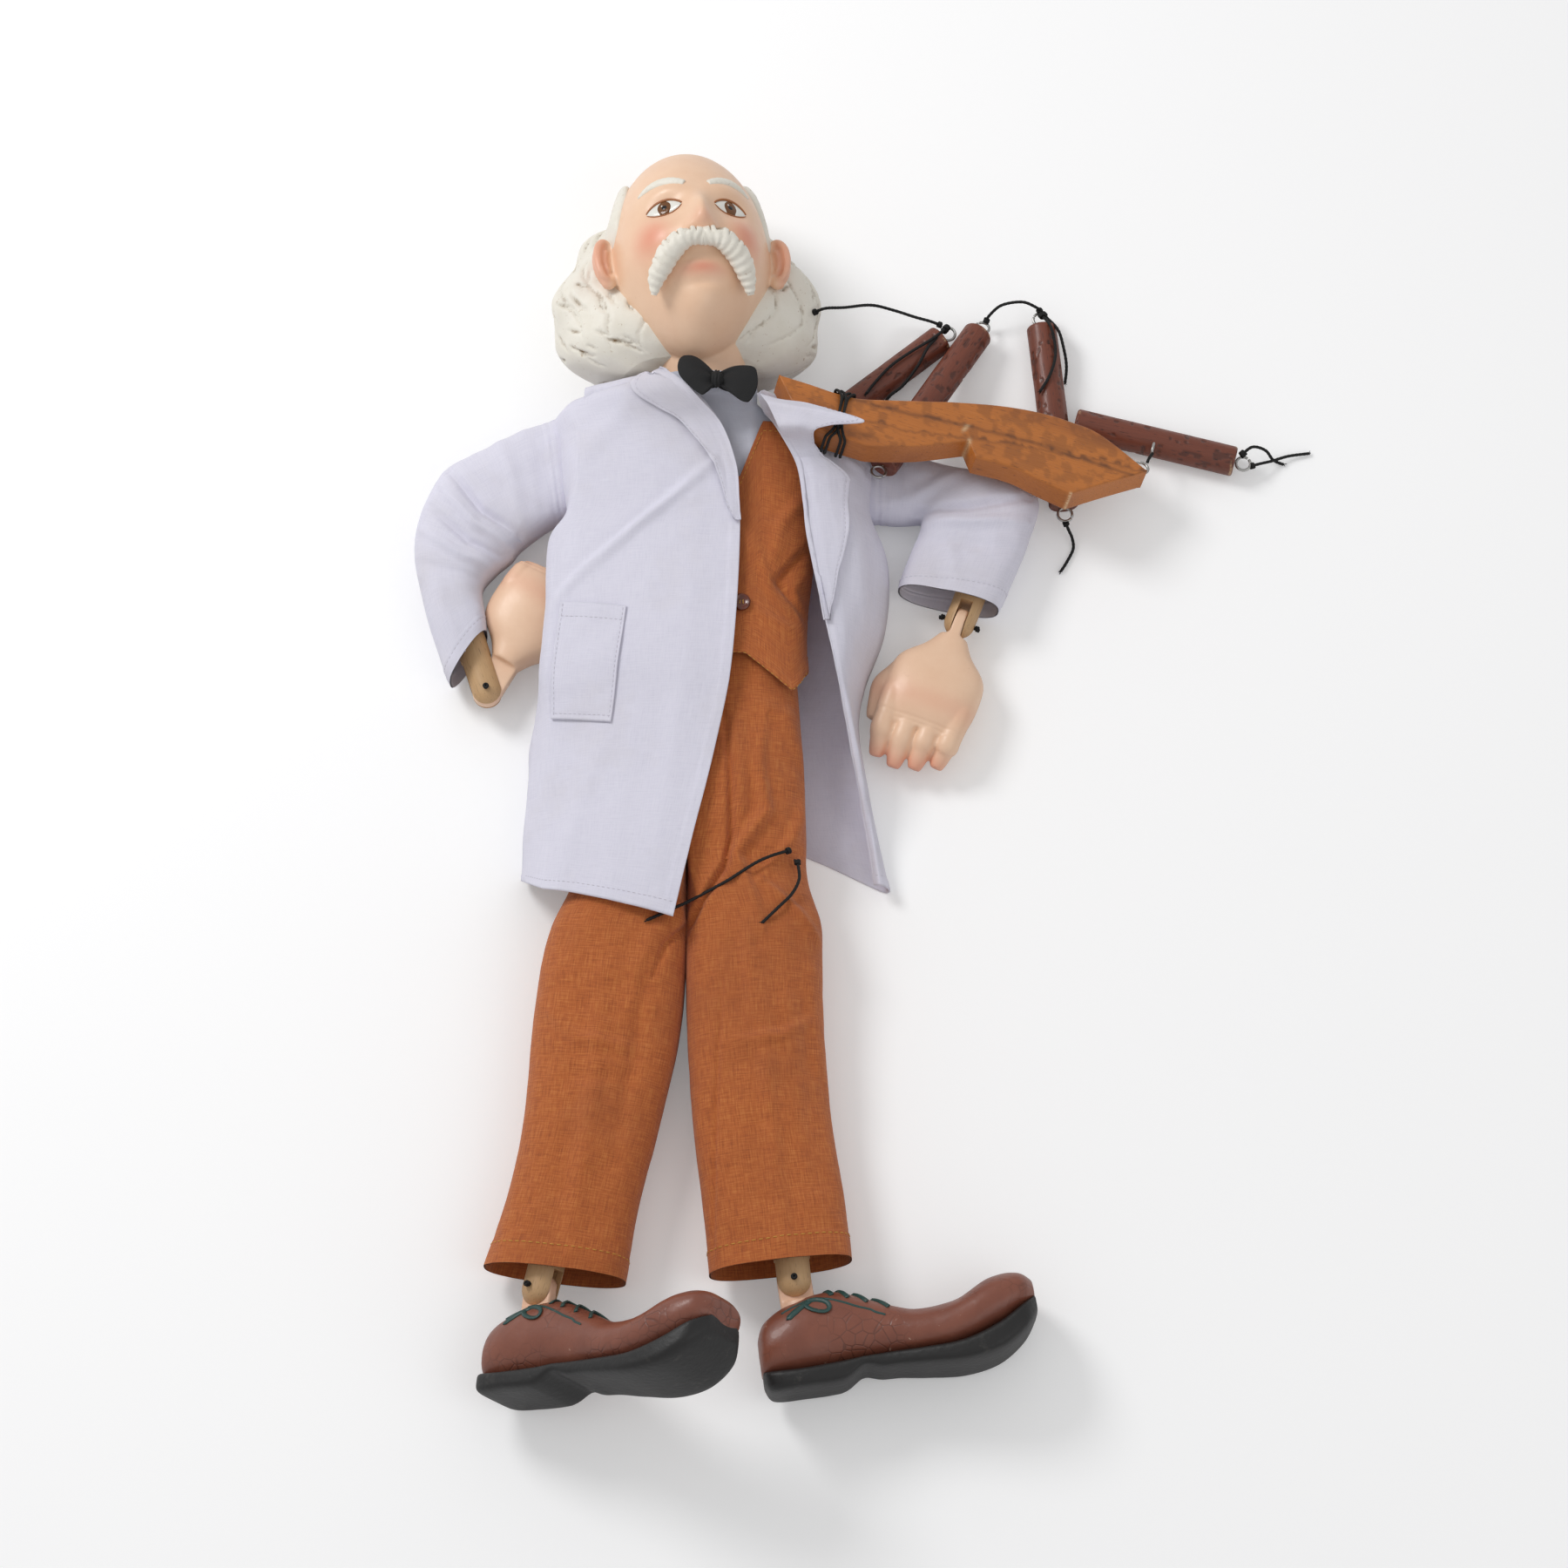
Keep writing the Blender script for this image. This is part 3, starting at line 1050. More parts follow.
def face_patch(tree, centre, outline, lift):
    """A thin painted patch on the face: outline(angle) gives its edge round the centre."""
    edge = outline(np.arange(48) / 48 * tau)
    rings = []
    for r in np.linspace(0.02, 1, 10):
        xy = np.asarray(centre) + r * edge
        rings.append(np.column_stack([xy, heights(tree, xy) + lift * (1 - r**4) + 0.04]))
    top = np.array(rings)
    return capped(np.concatenate([top, top[-1:] - [0, 0, 1.0], top[:1] - [0, 0, 1.0]]))


def almond(a):
    """The eye's outline: (9.5 cos a, h sin a (1 - |cos a|^3 / 4)), with h 5.6 above and 4.2 below."""
    c, s = np.cos(a), np.sin(a)
    return np.stack([9.5 * c, s * np.where(s > 0, 5.6, 4.2) * (1 - 0.25 * np.abs(c) ** 3)], axis=1)


def disc(r):
    return lambda a: np.stack([r * np.cos(a), r * np.sin(a)], axis=1)


def add_eyes(tree):
    w, h, _ = HEAD_HALF
    white, iris, pupil, glint = [], [], [], []
    lids, brows = [], []
    for side in (-1, 1):
        centre = (side * 0.42 * w, 0.02 * h)
        white.append(face_patch(tree, centre, almond, 1.3))
        iris.append(face_patch(tree, (centre[0], centre[1] + 0.4), disc(5.1), 1.75))
        pupil.append(face_patch(tree, (centre[0], centre[1] + 0.4), disc(2.5), 1.95))
        glint.append(face_patch(tree, (centre[0] - 1.2, centre[1] + 1.9), disc(0.75), 2.1))
        for low, high, radius in ((0.04, 0.96, 0.8), (1.06, 1.94, 0.4)):
            a = np.linspace(low, high, 30) * pi
            edge = almond(a) * 1.02 + np.array(centre)
            thick = radius * np.sin(np.linspace(0.25, pi - 0.25, 30)) ** 0.5
            lids.append(capped(tube_points(np.column_stack([edge, heights(tree, edge) + 0.25]), thick, 8)))
        t = np.linspace(0, 1, 34)
        xy = np.column_stack([side * (7 + 25 * t), 0.235 * h + 5.5 * np.sin(t * pi * 0.72) - 3 * t * t])
        z = heights(tree, xy)
        brow = tube_points(np.column_stack([xy, z]), 3.1 * np.sin(np.linspace(0.5, pi - 0.12, 34)) ** 0.7, 20)
        brow[..., 2] += 0.22 * np.sin(t * 60)[:, None]
        brow[..., 2] = z[:, None] + (brow[..., 2] - z[:, None]) * 0.55
        brows.append(capped(brow))
    for name, solids, material in (
            ("eye_whites", white, EYE_WHITE), ("irises", iris, EYE_BROWN), ("pupils", pupil, EYE_BLACK),
            ("eye_glints", glint, EYE_WHITE), ("lid_lines", lids, LID), ("brows", brows, HAIR)):
        obj = merged(name, solids, material)
        if material is HAIR:
            paint_attribute(obj, "groove", np.zeros(len(obj.data.vertices)))
        head_piece(obj)


def add_head():
    w, h, d = HEAD_HALF
    solids = [capped(skull_rings(150, 200)), neck_solid()]
    for side in (-1, 1):
        solids += ear_solids(side)
    skin = joined_solid("carved_head", solids, 1.0, 3, SKIN)
    tree = surface_tree(skin)
    x, y, z = points_of(skin).T
    a, v = np.abs(x) / w, y / h
    front = ease(z / d, 0.3, 0.7)
    blush = front * (0.75 * bell(a - 0.6, 0.2) * bell(v + 0.24, 0.16) + 0.3 * bell(a, 0.16) * bell(v + 0.24, 0.09))
    blush += front * 0.75 * bell(a, 0.26) * bell(v + 0.57, 0.05)
    blush += 0.5 * ease(a, 1.02, 1.12) * bell(v + 0.1, 0.4)
    paint_attribute(skin, "blush", np.clip(blush, 0, 1))
    head_piece(skin, "head")
    add_hair()
    add_moustache()
    add_eyes(tree)


def circle(centre, radius, axis, guess, angle):
    """Points of a circle about an axis at the given angles, counted from axis x guess."""
    side = np.cross(axis, guess)
    side /= np.linalg.norm(side)
    return np.asarray(centre) + radius * (np.cos(angle)[:, None] * side + np.sin(angle)[:, None] * np.cross(axis, side))


def eye_ring(centre, radius, wire, normal):
    """A closed wire ring round centre, square to normal."""
    normal = np.asarray(normal, float) / np.linalg.norm(normal)
    line = circle(centre, radius, normal, (0.3, 0.5, 0.81), np.linspace(0.12, tau - 0.12, 44))
    return capped(tube_points(line, wire, 10))


add_head()


# Cloth

def fold_relief(x, y, folds):
    """Sum of folds seen from the front: each is a line, a height in mm, a width, and a lean from 0 to 1.

    With d the signed distance from the line, a fold adds height * exp(-(d / width)^2), and a leaning one
    adds height * d / width * exp(-(d / width)^2) as well, so that one bank is steep.
    """
    total = np.zeros(np.broadcast(x, y).shape)
    for line, height, width, lean in folds:
        line = resampled(np.column_stack([np.asarray(line, float), np.zeros(len(line))]), 3.0)[:, :2]
        best = np.full(total.shape, 1e9)
        signed, along = np.zeros(total.shape), np.zeros(total.shape)
        for k in range(len(line) - 1):
            a, e = line[k], line[k + 1] - line[k]
            size = float(e @ e)
            t = np.clip(((x - a[0]) * e[0] + (y - a[1]) * e[1]) / size, 0, 1)
            dx, dy = x - a[0] - t * e[0], y - a[1] - t * e[1]
            distance = np.hypot(dx, dy)
            closer = distance < best
            best = np.where(closer, distance, best)
            signed = np.where(closer, np.sign(e[0] * dy - e[1] * dx) * distance, signed)
            along = np.where(closer, (k + t) / (len(line) - 1), along)
        taper = np.sin(pi * np.clip(along, 0.04, 0.96)) ** 0.5
        total += height * taper * bell(best, width) * (1 + lean * 1.6 * signed / width)
    return total


def face_area(face):
    """Area of a grid of points in mm2, as the sum of its triangles."""
    a, b, c, d = face[:-1, :-1], face[:-1, 1:], face[1:, 1:], face[1:, :-1]
    one = np.linalg.norm(np.cross(b - a, c - a), axis=-1)
    two = np.linalg.norm(np.cross(c - a, d - a), axis=-1)
    return (one.sum() + two.sum()) / 2


def declare_cloth(face, closed, share=1.0):
    """Says that a piece is cloth, cut to the size that its face grid has when laid flat."""
    if closed:
        face = np.concatenate([face, face[:, :1]], axis=1)
    width = np.linalg.norm(np.diff(face, axis=1), axis=-1).sum(axis=1).max() * MM
    length = np.linalg.norm(np.diff(face, axis=0), axis=-1).sum(axis=0).max() * MM
    area = min(face_area(face) * MM * MM * share, width * length)
    width = min(width, area / (0.35 * length))


def cloth_shell(name, face, material, thickness, normal, closed=False, keep=None, uv=None):
    """A sheet or tube of cloth: its face grid, its back a thickness behind and a rim round every edge.

    normal points out of the face; keep is false for the quads that are left out.
    """
    rows, columns = face.shape[:2]
    back = face - thickness * normal
    uv = (grid_uv(face) if uv is None else uv).reshape(-1, 2)
    count = rows * columns
    quads = grid_quads(rows, columns, closed)
    if keep is not None:
        quads = quads[keep.ravel()]
    edges = np.concatenate([quads[:, [k, (k + 1) % 4]] for k in range(4)])
    low, high = edges.min(axis=1).astype(np.int64), edges.max(axis=1).astype(np.int64)
    _, index, number = np.unique(low * count + high, return_index=True, return_counts=True)
    rim = edges[index[number == 1]]
    rims = np.stack([rim[:, 1], rim[:, 0], rim[:, 0] + count, rim[:, 1] + count], axis=1)
    faces = np.concatenate([quads, quads[:, ::-1] + count, rims])
    used, inverse = np.unique(faces, return_inverse=True)
    points = np.concatenate([face.reshape(-1, 3), back.reshape(-1, 3)])[used]
    return mesh_object(name, points, inverse.reshape(-1, 4), material, np.concatenate([uv, uv])[used])


def on_grid(grid, place_u, place_v):
    """Points of a grid at fractional columns and rows."""
    rows, columns = grid.shape[:2]
    u, v = np.clip(place_u, 0, columns - 1.001), np.clip(place_v, 0, rows - 1.001)
    j, i = u.astype(int), v.astype(int)
    s, t = (u - j)[..., None], (v - i)[..., None]
    upper = (1 - s) * grid[i, j] + s * grid[i, j + 1]
    return (1 - t) * upper + t * ((1 - s) * grid[i + 1, j] + s * grid[i + 1, j + 1])


def stitches(line, lift, length, gap, radius):
    """A row of stitches as short capsules along a line, lifted by lift (one vector for each point)."""
    line = np.asarray(line, float) + np.asarray(lift, float)
    run, t = lengths(line), np.array([0, 0.15, 0.5, 0.85, 1.0])
    paths = (sampled(line, run, start + t * length) for start in np.arange(gap, run[-1] - length, length + gap))
    return [capped(tube_points(path, radius * np.array([0.4, 1, 1.1, 1, 0.4]), 6)) for path in paths]


COAT_RIGHT = [
    [(-29, 131, 70.5), (-42, 129, 50), (-45, 129, 34), (-44, 128, 18), (-34, 126, 1)],
    [(-10, 120, 71.5), (-80, 124, 46), (-87.6, 123, 30), (-87.6, 123, 10), (-81, 122, 1)],
    [(6, 104, 61.5), (-78, 104, 50), (-86.8, 104, 34), (-86.8, 104, 8), (-80, 104, 1)],
    [(15, 78, 58.5), (-76, 80, 50), (-85, 80, 34), (-85, 80, 8), (-76, 80, 1)],
    [(17, 54, 57.5), (-80, 56, 46), (-82.2, 57, 34), (-80, 57, 8), (-70, 57, 1)],
    [(17.3, 34, 58), (-89, 37, 46), (-91, 38, 38.5), (-63, 40, 35), (-62, 40, 1)],
    [(16, -3, 59.8), (-90, -5, 46), (-92, -5, 39), (-61.8, -5, 35), (-60, -5, 1)],
    [(13, -42, 57.5), (-92, -42, 44), (-95, -42, 37.5), (-66, -42, 35), (-63.5, -44, 1)],
    [(9, -68, 55.5), (-90, -68, 38), (-99, -68, 22), (-100, -68, 8), (-97, -68, 1)],
    [(0, -110, 54), (-90, -108, 34), (-102, -106, 18), (-102, -106, 6), (-97, -106, 1)],
    [(-9, -148, 53.5), (-88, -142, 36), (-104, -136, 16), (-104, -134, 6), (-99, -130, 1)],
    [(-19, -193, 52), (-92, -172, 38), (-104, -160, 15), (-105, -156, 6), (-99, -147, 1)]]
COAT_LEFT = [
    [(27, 124, 57), (34, 128, 45), (37, 128, 34), (35, 127, 18), (26, 126, 1)],
    [(31, 113, 54), (74, 112, 39), (89, 112, 28), (89, 112, 8), (84, 112, 1)],
    [(38, 102, 57), (80, 100, 44), (92.3, 100, 30), (92.3, 100, 8), (84, 100, 1)],
    [(49.5, 78, 59), (82, 80, 46), (92.3, 80, 30), (92.3, 80, 8), (84, 80, 1)],
    [(53.5, 54, 57.5), (82, 57, 46), (91.5, 59, 30), (91.5, 59, 8), (84, 58, 1)],
    [(55.5, 34, 57), (88, 34, 44), (100.5, 33, 26), (102, 33, 8), (96, 33, 1)],
    [(63, -3, 55.5), (88, -5, 42), (99, -5, 22), (100, -5, 7), (94, -5, 1)],
    [(71, -38, 51), (82, -40, 36), (88, -40, 18), (88, -40, 7), (83, -40, 1)],
    [(77, -62, 42), (81, -64, 30), (84, -66, 16), (84, -66, 7), (79, -66, 1)],
    [(85, -100, 26), (87, -100, 18), (89, -100, 12), (89, -100, 5), (84, -100, 1)],
    [(90, -128, 14), (93, -128, 12), (94, -128, 9), (94, -128, 5), (88, -128, 1)],
    [(95, -160, 9), (99, -162, 10), (101, -163, 8), (101, -163, 5), (97, -161, 1)]]
COAT_ROWS, COAT_BACK_HEM = 165, -138
LAST_KEY, LAST_LEVEL = 18, 11          # numbers of the last key and the last level in the coat's table
COAT_FOLDS = [
    ([(-1, 80), (-20, 62), (-50, 35.8), (-77, 13.1), (-88, 0)], 2.2, 3.6, 1.0),
    ([(-40, 118), (-62, 104), (-84, 82)], 1.0, 7.0, 0.4),
    ([(-20, 108), (-12, 96), (2, 82)], -0.9, 3.4, 0.3),
    ([(-60, -84), (-73, -116), (-84, -172)], 1.3, 8.0, 0.5),
    ([(-30, -60), (-34, -110), (-48, -178)], -0.8, 10.0, 0.0),
    ([(-8, 20), (-14, -50), (-22, -120)], 0.8, 9.0, 0.0),
    ([(-86, 60), (-84, 20)], -1.2, 6.0, 0.0),
    ([(65.6, 97.6), (78.6, 83.8), (90, 79)], 1.1, 3.4, 0.8),
    ([(74, 60), (82, 30), (86, -6)], 1.2, 5.0, 0.4),
    ([(92, 40), (94, 8), (88, -28)], -1.2, 4.0, 0.0),
    ([(80, -64), (84, -96), (90, -130)], 1.0, 4.0, 0.5)]


def coat_keys():
    """One row of 19 points for each level, from the right front edge round the back to the left one."""
    rows, quarters = [], np.array([[0.25], [0.5], [0.75]])
    for level, sides in enumerate(zip(COAT_RIGHT, COAT_LEFT)):
        halves = []
        for edge, outer, flank, inner, foot in sides:
            edge, outer = np.array(edge, float), np.array(outer, float)
            between = edge + (outer - edge) * quarters
            between[:, 2:] = edge[2] + (outer[2] - edge[2]) * quarters * quarters + 2 * np.sin(pi * quarters)
            halves.append([edge, *between, outer, *np.array([flank, inner, foot], float)])
        start, end = halves[0][-1], halves[1][-1]
        back = start + (end - start) * quarters
        back[:, 2] = CLOTH
        if level == LAST_LEVEL:
            back[:, 1] = np.maximum(back[:, 1], COAT_BACK_HEM)
        rows.append([*halves[0], *back, *halves[1][::-1]])
    return np.array(rows)


def coat_face():
    """The coat's outer face, and where its columns lie in the table of keys."""
    across = np.concatenate([
        np.linspace(first, last, count, endpoint=last == LAST_KEY)
        for first, last, count in ((0, 4, 100), (4, 7, 42), (7, 11, 18), (11, 14, 36), (14, LAST_KEY, 70))])
    down = np.linspace(0, LAST_LEVEL, COAT_ROWS)
    keys = coat_keys()
    lining = at_places(keys, down)
    smooth = patch(keys, down, across)
    k = np.clip(across.astype(int), 0, LAST_KEY - 1)
    t = (across - k)[None, :, None]
    straight = lining[:, k] * (1 - t) + lining[:, k + 1] * t
    grid = 0.55 * smooth + 0.45 * straight
    normal = front_normals(grid, 80, 50)
    x, y, _ = np.moveaxis(grid, -1, 0)
    front = ease(normal[..., 2], 0.15, 0.5)
    relief = front * fold_relief(x, y, COAT_FOLDS)
    relief = relief + (0.35 + 0.5 * front) * layered_noise(grid, 52, 21, 2)
    relief = relief + 0.25 * layered_noise(grid, 13, 33, 2) * (0.4 + front)
    edge = np.minimum(across, LAST_KEY - across)[None, :]
    room = np.linalg.norm(grid[:, :1] - grid[:, 99:100], axis=-1) / 4
    hem = np.abs(down[:, None] - LAST_LEVEL) * 30
    run = np.minimum(edge * np.maximum(room, 6), hem)
    relief = relief + 0.45 * (1 - ease(run, 7.6, 8.6)) - 0.35 * bell(run - 7.4, 0.8)
    grid = grid + normal * (CLOTH + relief)[..., None]
    grid[..., 2] = np.maximum(grid[..., 2], 0.3)
    return grid, across


def coat_column(across, place):
    return np.interp(place, across, np.arange(len(across)))


def sewn_line(grid, normal, u, v, lift, *sizes):
    """A row of stitches over a grid at columns u and rows v, lifted along its normals."""
    u, v = np.broadcast_arrays(np.asarray(u, float), np.asarray(v, float))
    return stitches(on_grid(grid, u, v), on_grid(normal, u, v) * lift, *sizes)


def add_coat():
    grid, across = coat_face()
    normal = front_normals(grid, 80, 50)
    middle = (grid[:-1, :-1] + grid[1:, 1:]) / 2
    keep = np.ones(middle.shape[:2], bool)
    for s, x0 in (("r", -88), ("l", 88)):
        share = (x0 - SHOULDER[s][0]) / (ELBOW[s][0] - SHOULDER[s][0])
        y0 = SHOULDER[s][1] + share * (ELBOW[s][1] - SHOULDER[s][1])
        near = np.hypot(middle[..., 1] - y0, middle[..., 2] - ARM_Z) < 13.4
        keep &= ~(near & (np.abs(middle[..., 0] - x0) < 15))
    coat = cloth_shell("white_coat", grid, COTTON, CLOTH, normal, keep=keep)
    settle(coat, "coat", "torso")
    declare_cloth(grid, False, 0.98)
    thread = []
    for first, last, count in ((0.08, 4.9, 420), (14, 17.9, 300)):
        hem = np.linspace(coat_column(across, first), coat_column(across, last), count)
        thread += sewn_line(grid, normal, hem, (1 - 0.24 / LAST_LEVEL) * (COAT_ROWS - 1), 0.12, 1.7, 1.3, 0.2)
    settle(merged("coat_stitches", thread, WHITE_THREAD), None, "torso")
    add_pocket(grid, normal, across)
    add_lapels(grid, normal, across)


def add_pocket(grid, normal, across):
    """A patch pocket with a turned top and a stitched edge."""
    size = 60
    u = np.linspace(0.135, 0.212, size)[None, :] + 0.01 * np.linspace(-0.4, 0.6, size)[:, None]
    v = np.linspace(0.552, 0.745, size)[:, None] * (COAT_ROWS - 1) - 1.6 * np.linspace(-0.5, 1, size)[None, :]
    gu, gv = coat_column(across, u * LAST_KEY), v + 0 * u
    base, up = on_grid(grid, gu, gv), on_grid(normal, gu, gv)
    i, t = np.arange(size), np.linspace(0, 1, size)
    edge = np.minimum(np.minimum(i, i[::-1])[None, :], i[::-1][:, None])
    lift = 1.5 + 0.5 * layered_noise(base, 20, 4, 2) + 0.5 * np.sin(pi * t)[None, :] * (1 - t)[:, None]
    lift = lift - 0.28 * bell(edge - 2.6, 0.7) + 0.15 * (i[:, None] < 6)
    face = base + up * lift[..., None]
    pocket = cloth_shell("patch_pocket", face, COTTON, 0.9, front_normals(face, 30, 30))
    settle(pocket, "coat_pocket", "torso")
    declare_cloth(face, False)
    k = np.linspace(0, size - 1, 200)
    solids = []
    for u, v in ((2.6, k), (size - 3.6, k), (k, size - 3.6), (k, 6)):
        solids += sewn_line(face, up, u, v, 0.1, 1.7, 1.2, 0.19)
    settle(merged("pocket_stitches", solids, WHITE_THREAD), None, "torso")


LAPELS = {
    "r": [(0.0, 0.11), (0.045, 0.11), (0.09, 0.11), (0.14, 0.085), (0.18, 0.062), (0.27, 0.035), (0.36, 0.02),
          (0.42, 0.008)],
    "l": [(0.262, 0.105), (0.285, 0.16), (0.303, 0.195), (0.315, 0.194), (0.36, 0.183), (0.45, 0.15), (0.52, 0.09),
          (0.58, 0.03)]}
COLLAR_LEAF = [
    [(66, 104.8, 78.6), (54, 107.8, 79), (42, 109.5, 79), (29, 114, 77.5)],
    [(88.5, 96, 79), (70, 100.5, 80.5), (50, 104, 81), (32.5, 108, 80)],
    [(70, 92.3, 82.3), (60, 95, 82), (48, 98, 82), (35.5, 101, 81)],
    [(60, 89, 80.5), (55, 90.5, 80.5), (49, 91.5, 81), (39, 92.5, 80)],
    [(60, 86, 68), (55, 87, 70), (49, 88, 71), (42, 89, 71)]]


def add_lapels(grid, normal, across):
    """The front edges folded back over the coat, with a roll at the fold and stitches at the free edge."""
    for s in "rl":
        table = spline(LAPELS[s], 110)
        columns = 44
        share = np.linspace(0.02, 1, columns)[None, :]
        width = table[:, 1:] * share * LAST_KEY
        place = width if s == "r" else LAST_KEY - width
        gu, gv = coat_column(across, place), np.broadcast_to(table[:, :1] * (COAT_ROWS - 1), place.shape)
        base, up = on_grid(grid, gu, gv), on_grid(normal, gu, gv)
        along = np.arange(columns)[None, :]
        roll = 0.9 * np.cos(pi / 2 * np.clip(share * 5, 0, 1))
        lift = 2.3 + roll + 0.7 * layered_noise(base, 26, 9, 2) * share
        lift = lift + 1.1 * ease(share, 0.55, 1) * (0.5 + 0.5 * np.sin(table[:, :1] * 30))
        lift = lift - 0.25 * bell(columns - 5 - along, 0.8)
        face = base + up * lift[..., None]
        if s == "l":
            leaf = patch(COLLAR_LEAF, np.linspace(0, 4, 70), np.linspace(3, 0, columns)) + np.array([0, 0, 1.2])
            leaf[..., 2] += 0.7 * layered_noise(leaf, 18, 2, 2)
            face = np.concatenate([leaf[:-2], face])
        lap = cloth_shell(f"lapel_{s}", face, COTTON, 0.95, front_normals(face, 40, 20))
        settle(lap, f"coat_lapel_{s}", "torso")
        declare_cloth(face, False)
        k = np.linspace(1, len(face) - 3, 300)
        solids = sewn_line(face, front_normals(face, 40, 20), columns - 5, k, 0.1, 1.7, 1.3, 0.18)
        settle(merged(f"lapel_stitches_{s}", solids, WHITE_THREAD), None, "torso")


def add_collar_roll():
    """The narrow collar leaf that stands up on the right shoulder, rolled over its own edge."""
    keys = [
        [(-71, 126, 43), (-58, 127, 45), (-45, 128, 49), (-32, 129, 56)],
        [(-72.5, 131.6, 49), (-59, 133, 53.5), (-45, 133.8, 58.6), (-31.6, 133.6, 65)],
        [(-73.3, 127.4, 53.4), (-59, 129, 57.4), (-45, 130.4, 62.2), (-32, 131.6, 69.4)],
        [(-73.3, 120.6, 52), (-59, 122.4, 55), (-45, 124.6, 59.6), (-32.6, 127, 68)]]
    leaf = spline(spline(keys, 40).transpose(1, 0, 2), 80)
    leaf = leaf + UP * 0.5 * layered_noise(leaf, 12, 51, 2)[..., None]
    obj = cloth_shell("collar_roll", leaf, COTTON, 0.95, front_normals(leaf, 40, 30, side=(0, 0.2, 1)))
    settle(obj, None, "torso")
    declare_cloth(leaf, False)
    sewn = sewn_line(leaf, UP + 0 * leaf, 36.5, np.linspace(2, 77, 160), 0.15, 1.6, 1.2, 0.18)
    settle(merged("collar_roll_stitches", sewn, WHITE_THREAD), None, "torso")


add_collar_roll()
add_coat()


def station_rings(stations, rows, columns, power=2.6):
    """Superellipse rings from (ax, ay, bx, by, low, high) stations."""
    table = spline(stations, rows)
    a, b = table[:, None, 0:2], table[:, None, 2:4]
    low, high = table[:, 4:5], table[:, 5:6]
    across, rise = squared((np.arange(4 * columns) / (4 * columns) * tau)[None, :], power)
    xy = (a + b) / 2 + across[..., None] * (b - a) / 2
    grid = np.concatenate([xy, ((low + high) / 2 + (high - low) / 2 * rise)[..., None]], axis=-1)
    return even_rings(grid, columns)


def even_rings(grid, columns):
    """The same closed rings with their points an equal arc length apart."""
    rings = []
    for ring in grid:
        ring = np.concatenate([ring, ring[:1]])
        run = lengths(ring)
        rings.append(sampled(ring, run, np.arange(columns) / columns * run[-1]))
    return np.array(rings)


def outward(grid):
    """Unit normals of a closed tube grid that point away from its middle line."""
    normal = grid_normals(grid, True)
    away = grid - grid.mean(axis=1, keepdims=True)
    return normal * np.sign(np.sum(normal * away, axis=(1, 2)).mean())


def draped(grid, folds, seed, soft=0.5, crisp=0.3):
    """A tube of cloth with its named folds on the upper side and small slack all over."""
    normal = outward(grid)
    x, y, _ = np.moveaxis(grid, -1, 0)
    front = ease(normal[..., 2], 0.05, 0.6)
    relief = front * fold_relief(x, y, folds) + soft * (0.3 + front) * layered_noise(grid, 38, seed, 2)
    relief = relief + crisp * layered_noise(grid, 11, seed + 9, 2) * (0.4 + front)
    grid = grid + normal * relief[..., None]
    grid[..., 2] = np.maximum(grid[..., 2], 0.25)
    return grid


def hem_relief(grid, width, height):
    """The turned edge of a tube at its last row, and the distance of each row from that edge."""
    run = np.linalg.norm(np.diff(grid, axis=0), axis=-1).mean(axis=1)
    run = np.concatenate([[0], np.cumsum(run)])
    run = run[-1] - run
    lift = height * (1 - ease(run, width, width + 1)) - 0.3 * bell(run - width + 1.4, 0.8)
    return grid + outward(grid) * lift[:, None, None], run


def tube_cloth(name, whole, first, last, material):
    """A length of a cloth tube, rows first to last, shaded as the whole tube is so that lengths meet unseen."""
    face, normal = whole[first:last], outward(whole)[first:last]
    obj = cloth_shell(name, face, material, TUBE_CLOTH, normal, True, uv=grid_uv(whole)[first:last])
    given = np.concatenate([normal.reshape(-1, 3), -normal.reshape(-1, 3)])
    obj.data.normals_split_custom_set_from_vertices(given.tolist())
    return obj, face


def sewn_hem(name, whole, run, far, lift, sizes, thread, body):
    """Stitches round a tube at a distance from its end."""
    row = int(np.argmin(np.abs(run - far)))
    line, normal = (np.concatenate([g[row], g[row][:1]]) for g in (whole, outward(whole)))
    settle(merged(name, stitches(line, normal * lift, *sizes), thread), None, body)


def blended(obj, node, face):
    """A length of sleeve or leg that turns from one body's pose to the next between two places."""
    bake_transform(obj)
    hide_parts(node)
    declare_cloth(face, True)


# Trousers

SEAT = [
    (-53, 4, 53, 4, 4.6, 50), (-50, -40, 50, -40, 3.6, 50), (-58, -100, 54, -98, 1.6, 50),
    (-75, -150, 55, -150, 1.4, 47.6), (-72.6, -157, 52.6, -157, 4.2, 44.4)]
LEGS = {
    "r": [
        (-76, -149.4, -11.4, -149.4, 0.6, 47), (-84, -178, -11.4, -186, 0.6, 47), (-92, -207, -12.2, -215, 0.6, 46),
        (-97, -245, -15.6, -255, 0.6, 44), (-101, -300, -27, -308, 0.6, 43), (-108, -340, -37, -350, 0.6, 43),
        (-121, -384, -44, -393, 0.6, 43)],
    "l": [
        (-12.4, -149.4, 56, -149.4, 0.6, 48), (-12.4, -186, 63, -184, 0.6, 48), (-12.5, -215, 64, -213, 0.6, 47),
        (-11, -262, 65, -256, 0.6, 45), (-7, -310, 69, -304, 0.6, 43), (-1, -360, 76, -350, 0.6, 43),
        (2, -389, 79, -380, 0.6, 43)]}
